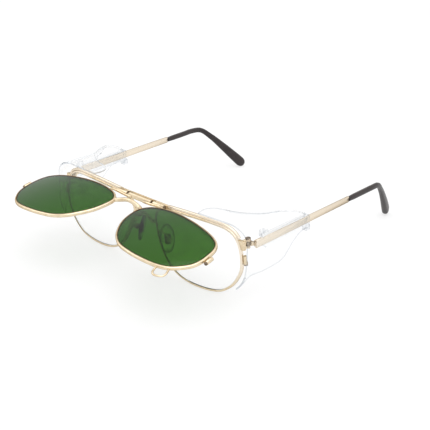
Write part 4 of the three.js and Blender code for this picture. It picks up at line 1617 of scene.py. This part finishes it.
@dataclass
class Temple(SubAssembly):
    """Flat temple bar with its hinge leaf and dark ear tip."""

    TIP_SPANS = 8
    TIP_RINGS = 96
    TIP_SIDES = 28
    LEVEL_TRIES = 4

    front: FrontFrame
    side: Side
    slope: float = 0.3
    tip_start: float = 75.5
    tip_bend: float = 100.0
    tip_back: float = 131.85
    tip_inward: float = 12.0
    tip_curl: float = 1.2
    tip_soft: float = 0.22
    tip_size: Pair = (2.3, 3.0)
    tip_end: Pair = (4.1, 6.0)
    tip_square: float = 2.6
    tip_mouth: Pair = (0.86, 0.05)
    tip_flare: float = 0.4
    tip_round: float = 0.06
    tip_blunt: float = 0.995
    tip_crowding: float = 0.9
    brushing: Pair = (4.0, 6.0)

    def __post_init__(self) -> None:
        """Finds the temple's own frame."""
        slope = Matrix.Rotation(math.radians(-self.slope), 4, "X")
        self.frame = Matrix.Translation(self.front.hinge) @ slope
        self.middle = self.front.hinge_inset + self.front.temple_thickness / 2

    @property
    def body(self) -> str:
        """Name of the body."""
        return Body.TEMPLE.on(self.side)

    def _tip_rings(self, drop: float) -> list[Ring]:
        """Sections of the ear tip.

        Args:
            drop: How far its end hangs below the bar.

        Returns:
            Rings from the bar to the rounded end.
        """
        soft, spans = self.tip_soft, self.TIP_SPANS

        def spot(y: float) -> Vector:
            """Middle of the tip.

            Args:
                y: Distance behind the hinge.

            Returns:
                The point, in the temple's own frame.
            """
            share = max(0.0, (y - self.tip_bend) / (self.tip_back - self.tip_bend))
            fall = (math.hypot(share, soft) - soft) / (math.hypot(1, soft) - soft)
            return Vector((self.middle - self.tip_inward * share**self.tip_curl, y, -drop * fall))

        path = SmoothPath([spot(lerp(self.tip_start, self.tip_back, i / spans)) for i in range(spans + 1)])
        rings = []
        for i in range(self.TIP_RINGS):
            share = math.sin(i / (self.TIP_RINGS - 1) * math.pi / 2) ** self.tip_crowding
            flare = smoothstep(share, self.tip_flare, 1.0)
            past = max(0.0, (share - 1 + self.tip_round) / self.tip_round)
            close = math.sqrt(max(0.0, 1 - past**2 * self.tip_blunt))
            mouth = min(1.0, self.tip_mouth[0] + i * self.tip_mouth[1])
            ends = zip(self.tip_size, self.tip_end)
            width, height = (lerp(slim, full, flare) * close * mouth for slim, full in ends)
            here, ahead = path.point(share), path.heading(share)
            across = UP.cross(ahead).normalized()
            up = ahead.cross(across)
            section = oval(width, height, self.tip_square, self.TIP_SIDES)
            rings.append([self.frame @ (here + across * a + up * b) for a, b in section])
        return rings

    def _level_tip(self) -> list[Ring]:
        """Tip whose end comes down to the surface that the rims stand on.

        Returns:
            Its rings.
        """
        drop = self.tip_inward * 2
        for _ in range(self.LEVEL_TRIES):
            drop += min(point.z for ring in self._tip_rings(drop) for point in ring)
        return self._tip_rings(drop)

    def build(self, bench: Bench) -> None:
        """Makes the meshes.

        Args:
            bench: Where they are made.
        """
        side, tag = self.side, self.side.tag
        bar = self.keep_eased(bench, f"temple_{tag}", GOLD, Ease.TEMPLE)
        middle = [self.frame @ Vector((self.middle, y, 0)) for y in range(int(self.tip_start))]
        # Painted highlight along the temple bar.
        bench.mark(bar, Mark.BRUSHING, side.ring(middle), self.brushing)
        leaf = self.keep_eased(bench, f"temple_hinge_leaf_{tag}", GOLD, Ease.TEMPLE)
        # Painted shade round the temple hinge knuckles.
        bench.mark(leaf, Mark.GRIME, self.front.hinge_line(side), self.front.hinge_shade)
        tip = bench.skin(f"ear_tip_{tag}", side.rings(self._level_tip()))
        self.keep(tip, TIP_PLASTIC, f"temple_tip_{tag}")


@dataclass
class SideShield(SubAssembly):
    """Clear formed shell that wraps from under the eye over the brow bar, with a sleeve on the temple.

    A border is given by pairs from front to rear: a share of the shell's length, then a share of its
    lower, upper or flap size. The tab and the lug are given by their reach past the sleeve, their length
    and their height.
    """

    ALONG_STEPS = (64, 0.005)
    PANEL_STEPS = (22, 0.012)
    FLAP_STEPS = (12, 0.012)
    BEND_STEPS = 10
    KNOB_EASE = ((0.0, 0.86), (0.09, 0.95), (0.3, 1.0), (0.9, 1.0))

    temple: Temple
    thickness: float = 0.998
    length: float = 40.5
    reaches: Triple = (7.2, 6.2, 7.2)
    below: float = 14.9
    lower_end: float = 22.0
    corner: float = 11.0
    corner_share: float = 0.9
    flap: float = 31.5
    flap_start: float = 0.97
    flap_clearance: float = 0.5
    tuck: float = 6.0
    tuck_fade: float = 0.3
    tuck_curl: int = 5
    slide: float = 0.3
    sleeve_start: float = 7.6
    sleeve_wall: float = 0.8
    sleeve_round: float = 0.5
    sleeve_end: float = 0.7
    hole_round: float = 0.2
    tab: Triple = (2.2, 3.2, 2.7)
    lug: Triple = (1.2, 3.0, 2.4)
    knob_round: float = 0.55
    knob_foot: float = 0.1
    bar_height: float = 4.0
    edge_taper: Pair = (0.3, 0.85)
    edge_width: Pair = (0.05, 0.6)
    edge_step: float = 0.2
    flank: float = 0.4
    lower: tuple[Pair, ...] = (
        (-0.06, 1.04), (0.12, 1), (0.32, 1), (0.51, 0.91), (0.69, 0.5), (0.83, 0.27), (1, 0.22),
    )
    upper: tuple[Pair, ...] = (
        (-0.05, 1), (0.1, 1), (0.27, 1), (0.47, 1), (0.67, 0.94), (0.85, 0.64), (1, 0.26),
    )
    edge: tuple[Pair, ...] = (
        (-0.04, 1), (0.075, 0.9), (0.16, 0.55), (0.31, 0.27), (0.58, 0.1), (0.8, 0.06), (1, 0.06),
    )

    def __post_init__(self) -> None:
        """Finds the shell's main places."""
        front = self.temple.front
        self.side = self.temple.side
        self.marks: list[Vector] = []
        self.inner = front.hinge_inset + front.temple_thickness + self.slide + front.rim.solder
        self.top = front.brow_top + self.flap_clearance + self.thickness / 2 - front.hinge.z
        self.shoulder = front.end_height / 2 + self.slide

    @property
    def body(self) -> str:
        """Name of the body."""
        return Body.SHIELD.on(self.side)

    def _border(self, reach: float, start: float, shares: Sequence[Pair], scale: float) -> list[Pair]:
        """One border of the shell from front to rear, in millimetres."""
        return [(-reach, start), *((along * self.length, share * scale) for along, share in shares)]

    def _grid(self) -> list[Ring]:
        """Middle surface of the shell.

        Returns:
            Rows of points from front to rear, each from the lower edge up to the flap.
        """
        panel = self.inner + self.thickness / 2
        lower = self._border(self.reaches[0], -self.lower_end, self.lower, -self.below)
        upper = self._border(self.reaches[1], self.top, self.upper, self.top)
        flap = self._border(self.reaches[2], self.flap * self.flap_start, self.edge, self.flap)
        ends = len(CROWDED_ENDS)
        rows = []
        for share in crowded(*self.ALONG_STEPS):
            low, high, edge = (spline_pair(points, share) for points in (lower, upper, flap))
            radius = min(self.corner, edge[1] * self.corner_share)
            rise = min(radius, self.top - self.shoulder)
            tuck = self.tuck * max(0.0, 1 - share / self.tuck_fade) ** 2
            row = []
            for k in crowded(*self.PANEL_STEPS)[:-ends]:
                across = panel - tuck * (1 - k) ** self.tuck_curl
                row.append(Vector((across, lerp(low[0], high[0], k), lerp(low[1], high[1] - rise, k))))
            for j in range(self.BEND_STEPS + 1):
                angle = math.radians(90 * j / self.BEND_STEPS)
                across, up = radius * (1 - math.cos(angle)), rise * (1 - math.sin(angle))
                row.append(Vector((panel - across, high[0], high[1] - up)))
            for k in crowded(*self.FLAP_STEPS)[ends:]:
                row.append(Vector((panel - lerp(radius, edge[1], k), lerp(high[0], edge[0], k), high[1])))
            rows.append(row)
        return rows

    def _shell(self, bench: Bench) -> Object:
        """Closed shell over the middle surface, thinned at its border.

        Args:
            bench: Where it is made.

        Returns:
            The object.
        """
        grid = self._grid()
        rows, columns = len(grid), len(grid[0])

        def near(r: int, c: int) -> Vector:
            """Grid point, held to the borders."""
            return grid[min(max(r, 0), rows - 1)][min(max(c, 0), columns - 1)]

        points: list[Vector] = []
        for way in (0.5, -0.5):
            for r in range(rows):
                for c in range(columns):
                    along = near(r + 1, c) - near(r - 1, c)
                    across = near(r, c + 1) - near(r, c - 1)
                    inside = min(r, c, rows - 1 - r, columns - 1 - c)
                    taper = self.edge_taper[inside] if inside < len(self.edge_taper) else 1.0
                    offset = along.cross(across).normalized() * way * self.thickness * taper
                    points.append(self.side.at(self.temple.frame @ (grid[r][c] + offset)))
        back = rows * columns
        faces: list[Sequence[int]] = []
        for r in range(rows - 1):
            for c in range(columns - 1):
                a = r * columns + c
                faces.append((a, a + columns, a + columns + 1, a + 1))
                faces.append((back + a, back + a + 1, back + a + columns + 1, back + a + columns))
        border = list(range(columns))
        border += [r * columns + columns - 1 for r in range(1, rows)]
        border += [(rows - 1) * columns + c for c in range(columns - 2, -1, -1)]
        border += [r * columns for r in range(rows - 2, 0, -1)]
        for a, b in zip(border, [*border[1:], border[0]]):
            faces.append((a, b, back + b, back + a))
        self.marks += [points[a + skin] for skin in (0, back) for a in border]
        return bench.mesh(f"shield_shell_{self.side.tag}", points, faces)

    def _ring(self, section: Sequence[Pair], middle: Pair, y: float, share: float = 1.0) -> Ring:
        """A section across the temple.

        Args:
            section: Points round the section.
            middle: Its middle, across and up from the hinge.
            y: Distance behind the hinge.
            share: Scale about the middle.

        Returns:
            The drawing points on the shield's own side.
        """
        spots = (Vector((middle[0] + a * share, y, middle[1] + b * share)) for a, b in section)
        return [self.side.at(self.temple.frame @ spot) for spot in spots]

    def _across(self) -> Pair:
        """The sleeve's inner and outer side."""
        return self.temple.front.hinge_inset - self.slide - self.sleeve_wall, self.inner + self.thickness / 2

    def _mark_block(self, size: Pair, radius: float, middle: Pair, ends: Pair) -> None:
        """Marks the four long edges of a block on the temple and the outlines of its ends.

        Args:
            size: Its size across and up.
            radius: Its corner radius.
            middle: Its middle, across and up from the hinge.
            ends: Its front and rear end.
        """
        # Each corner has three points, and the middle one lies on the long edge.
        corners = rounded_bar(*size, radius, steps=2)[1::3]
        steps = int((ends[1] - ends[0]) / self.edge_step)
        for i in range(steps + 1):
            self.marks += self._ring(corners, middle, lerp(*ends, i / steps))
        outline = rounded_bar(*size, radius, steps=2, flank=self.flank)
        for y in ends:
            self.marks += self._ring(outline, middle, y)

    def _sleeve(self, bench: Bench) -> Object:
        """Square sleeve round the temple bar.

        Args:
            bench: Where it is made.

        Returns:
            The object.
        """
        inside = self.bar_height / 2 + self.slide
        inner, outer = self._across()
        width = self.temple.front.temple_thickness + 2 * self.slide
        size = (outer - inner, 2 * (inside + self.sleeve_wall))
        wall = rounded_bar(*size, self.sleeve_round, steps=3, flank=self.flank)
        hole = rounded_bar(width, 2 * inside, self.hole_round, steps=3, flank=self.flank)
        wall_at, hole_at = ((inner + outer) / 2, 0.0), (inner + self.sleeve_wall + width / 2, 0.0)
        ends = (self.sleeve_start, self.length)
        self._mark_block(size, self.sleeve_round, wall_at, ends)
        along = (ends[0], ends[0] + self.sleeve_end, ends[1] - self.sleeve_end, ends[1])
        rings = [self._ring(wall, wall_at, y) for y in along]
        rings += [self._ring(hole, hole_at, y) for y in reversed(ends)]
        return bench.skin(f"shield_sleeve_{self.side.tag}", rings, loop=True)

    def _knob(self, bench: Bench, name: str, y: Pair, z: Pair) -> Object:
        """Small block with rounded edges on the sleeve.

        Args:
            bench: Where it is made.
            name: The object's name.
            y: Its front and rear end.
            z: Its foot and top.

        Returns:
            The object.
        """
        inner, outer = self._across()
        size = (outer - inner, z[1] - z[0])
        section = rounded_bar(*size, self.knob_round, flank=self.flank)
        middle = ((inner + outer) / 2, (z[0] + z[1]) / 2)
        self._mark_block(size, self.knob_round, middle, y)
        stations = [(y[0] + inset, share) for inset, share in self.KNOB_EASE]
        stations += [(y[1] - inset, share) for inset, share in reversed(self.KNOB_EASE)]
        return bench.skin(name, [self._ring(section, middle, at, share) for at, share in stations])

    def build(self, bench: Bench) -> None:
        """Makes the meshes.

        Args:
            bench: Where they are made.
        """
        tag, foot = self.side.tag, self.bar_height / 2 + self.slide
        wall, gap = self.sleeve_wall, self.knob_foot
        lead, long, rise = self.tab
        start = self.sleeve_start - lead
        tail, reach, drop = self.lug
        end = self.length + tail
        whole = bench.union(self._shell(bench), self._sleeve(bench))
        tab = self._knob(bench, f"shield_tab_{tag}", (start, start + long), (foot + gap, foot + wall + rise))
        whole = bench.union(whole, tab)
        lug = self._knob(bench, f"shield_lug_{tag}", (end - reach, end), (-foot - wall - drop, -foot - gap))
        whole = bench.union(whole, lug)
        # Painted shade along the shield's edges.
        bench.mark(whole, Mark.EDGE, self.marks, self.edge_width)
        self.keep(whole, SHIELD_PLASTIC, f"side_shield_{tag}")


@dataclass
class NosePad(SubAssembly):
    """Rocking nose pad with its metal mount and pin.

    The profile runs from the middle of the back over the edge to the middle of the soft face, in shares of
    the thickness and of the outline.
    """

    PAD_SIDES = 56
    PROFILE = (
        (0.0, 0.03), (0.0, 0.55), (0.02, 0.72), (0.08, 0.84), (0.2, 0.94), (0.35, 0.99), (0.5, 1.0),
        (0.65, 0.97), (0.78, 0.9), (0.88, 0.78), (0.95, 0.6), (0.985, 0.38), (1.0, 0.03),
    )
    WIDEST = 6

    side: Side
    width: float = 7.6
    height: float = 15.0
    thickness: float = 2.4
    square: float = 2.15
    offset: Triple = (11.5, 6.8, 15.6)
    splay: float = 30.0
    tilt: float = 12.0
    fork_width: float = 2.5
    fork_share: float = 0.28
    run_gap: float = 0.25
    pin_radius: float = 0.36
    pin_gap: float = 0.15
    pad_edge: Pair = (0.9, 1.5)
    mount_shade: Pair = (9.0, 12.0)

    def __post_init__(self) -> None:
        """Finds the pad's own frame."""
        splay = Matrix.Rotation(math.radians(-self.splay), 4, "Z")
        tilt = Matrix.Rotation(math.radians(-self.tilt), 4, "Y")
        self.frame = Matrix.Translation(self.offset) @ (splay @ tilt)
        self.back = -(self.fork_width * self.fork_share + self.run_gap * 2)

    @property
    def body(self) -> str:
        """Name of the body."""
        return Body.PAD.on(self.side)

    def _pad_rings(self) -> list[Ring]:
        """Rings of the pad along its profile.

        Returns:
            The rings, from the back to the soft face.
        """
        rings = []
        for depth, share in self.PROFILE:
            section = oval(self.width * share, self.height * share, self.square, self.PAD_SIDES)
            x = self.back - self.thickness * depth
            rings.append([self.side.at(self.frame @ Vector((x, a, b))) for a, b in section])
        return rings

    def build(self, bench: Bench) -> None:
        """Makes the meshes.

        Args:
            bench: Where they are made.
        """
        side, tag = self.side, self.side.tag
        rings = self._pad_rings()
        pad = bench.skin(f"soft_pad_{tag}", rings)
        # Painted shade round the pad's widest edge.
        bench.mark(pad, Mark.EDGE, rings[self.WIDEST], self.pad_edge)
        self.keep(pad, PAD_PLASTIC, f"nose_pad_{tag}")
        mount = self.keep_eased(bench, f"nose_pad_mount_{tag}", STEEL, Ease.FORK)
        # Painted shade on the mount near the pad that sits over it.
        bench.mark(mount, Mark.GRIME, [side.at(self.frame.translation)], self.mount_shade)
        under = self.frame @ Vector((0, -self.fork_width / 2 - self.pin_gap, 0))
        way = self.frame.to_3x3() @ Vector((0, -1, 0))
        pin = ScrewSizes(self.pin_radius * 2, self.pin_radius, self.fork_width + self.pin_gap)
        seats = [(side.at(under), side.at(way))]
        self.keep_screws(bench, f"pad_pin_{tag}", pin, seats, f"nose_pad_pin_{tag}")


# Studio


def aimed(way: Vector) -> Euler:
    """Turn of a lamp or a camera that looks that way."""
    return way.to_track_quat("-Z", "Y").to_euler()


@dataclass(frozen=True)
class Lamp:
    """Square soft panel that faces the glasses, in metres and watts."""

    name: str
    place: Triple
    size: float
    power: float

    def hang(self) -> None:
        """Puts the lamp in the scene."""
        light = bpy.data.lights.new(self.name, "AREA")
        light.size = self.size
        light.energy = self.power
        lamp = shown(self.name, light)
        lamp.location = self.place
        lamp.rotation_euler = aimed(-Vector(self.place))


@dataclass
class Studio:
    """Pale floor, soft lamps and the camera at the photograph's angle; the floor is in metres."""

    focal_px: float = 1000.0
    frame_px: float = 430.0
    sensor_width: float = 36.0
    clip_start: float = 0.01
    azimuth: float = 42.58
    elevation: float = 24.30
    eye_point: Triple = (337.16, -313.63, 235.23)
    floor_size: float = 8.0
    floor_gap: float = 0.00005
    floor_colour: Colour = (0.32, 0.32, 0.32)
    floor_glow: float = 0.68
    world_level: float = 0.8
    lamps: tuple[Lamp, ...] = (
        Lamp("key_panel", (0.6, -0.6, 1.2), size=1.2, power=6.0),
        Lamp("fill_panel", (-1.0, -0.5, 0.9), size=1.0, power=2.5),
        Lamp("top_panel", (0.1, 0.1, 1.5), size=1.4, power=5.0),
    )

    def build(self, bench: Bench) -> None:
        """Makes the world, the floor, the lamps and the camera.

        Args:
            bench: What places the camera.
        """
        bpy.context.scene.view_settings.view_transform = "Standard"
        self._world()
        self._floor()
        for lamp in self.lamps:
            lamp.hang()
        self._camera(bench)

    @staticmethod
    def _seen(tree: NodeWriter) -> Socket:
        """1 for rays that show the background: from the camera, and by gloss or glass.

        Args:
            tree: The tree that asks.

        Returns:
            The value.
        """
        path = tree.add("ShaderNodeLightPath")
        seen = path.outputs["Is Camera Ray"]
        for name in ("Is Glossy Ray", "Is Transmission Ray"):
            seen = tree.made("ShaderNodeMath", {0: seen, 1: path.outputs[name]}, operation="MAXIMUM")
        return seen

    def _world(self) -> None:
        """Even pale light, white where it is seen."""
        world = bpy.data.worlds.new("studio")
        bpy.context.scene.world = world
        world.use_nodes = True
        tree = NodeWriter(world.node_tree)
        levels = {"Value": self._seen(tree), "To Min": self.world_level, "To Max": 1.0}
        sky = tree.tree.nodes["Background"]
        sky.inputs["Color"].default_value = WHITE
        tree.link(tree.made("ShaderNodeMapRange", levels), sky.inputs["Strength"])

    def _floor(self) -> None:
        """Large pale floor that keeps the glasses' shadow."""
        half, low = self.floor_size / 2, -self.floor_gap
        mesh = bpy.data.meshes.new("floor")
        corners = [(-half, -half, low), (half, -half, low), (half, half, low), (-half, half, low)]
        mesh.from_pydata(corners, [], [(0, 1, 2, 3)])
        floor = shown("floor", mesh)
        tree = ShaderTree("floor_paper")
        paper = tree.made("ShaderNodeBsdfDiffuse", {"Color": (*self.floor_colour, 1.0)})
        lift = tree.made("ShaderNodeMath", {0: self._seen(tree), 1: self.floor_glow}, operation="MULTIPLY")
        glow = tree.made("ShaderNodeEmission", {"Color": WHITE, "Strength": lift})
        tree.link(tree.made("ShaderNodeAddShader", {0: paper, 1: glow}), tree.output.inputs["Surface"])
        mesh.materials.append(tree.material)

    def _camera(self, bench: Bench) -> None:
        """Camera where the photograph was taken from.

        Args:
            bench: What places it.
        """
        data = bpy.data.cameras.new("camera")
        data.sensor_width = self.sensor_width
        data.lens = self.focal_px / self.frame_px * data.sensor_width
        data.clip_start = self.clip_start
        azimuth, elevation = math.radians(self.azimuth), math.radians(self.elevation)
        level = math.cos(elevation)
        back = Vector((math.sin(azimuth) * level, -math.cos(azimuth) * level, math.sin(elevation)))
        camera = shown("camera", data)
        camera.location = bench.place(Vector(self.eye_point))
        camera.rotation_euler = aimed(-back)
        bpy.context.scene.camera = camera


def main() -> None:
    """Builds, dresses and lights the glasses."""
    logging.basicConfig(level=logging.INFO, format="%(message)s")
    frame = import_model()
    front = FrontFrame()
    joint = next(joint for joint in frame["joints"] if joint["name"] == "flip_lift")
    bench = Bench(frame["nodes"], Vector(joint["pos_m"]) / MM - front.flip_axis)
    parts: list[SubAssembly] = [front, FlipFront(front)]
    for side in Side:
        temple = Temple(front, side)
        parts += [temple, SideShield(temple), NosePad(side)]
    for part in parts:
        part.build(bench)
        part.dress()
    Studio().build(bench)


if __name__ == "__main__":
    main()
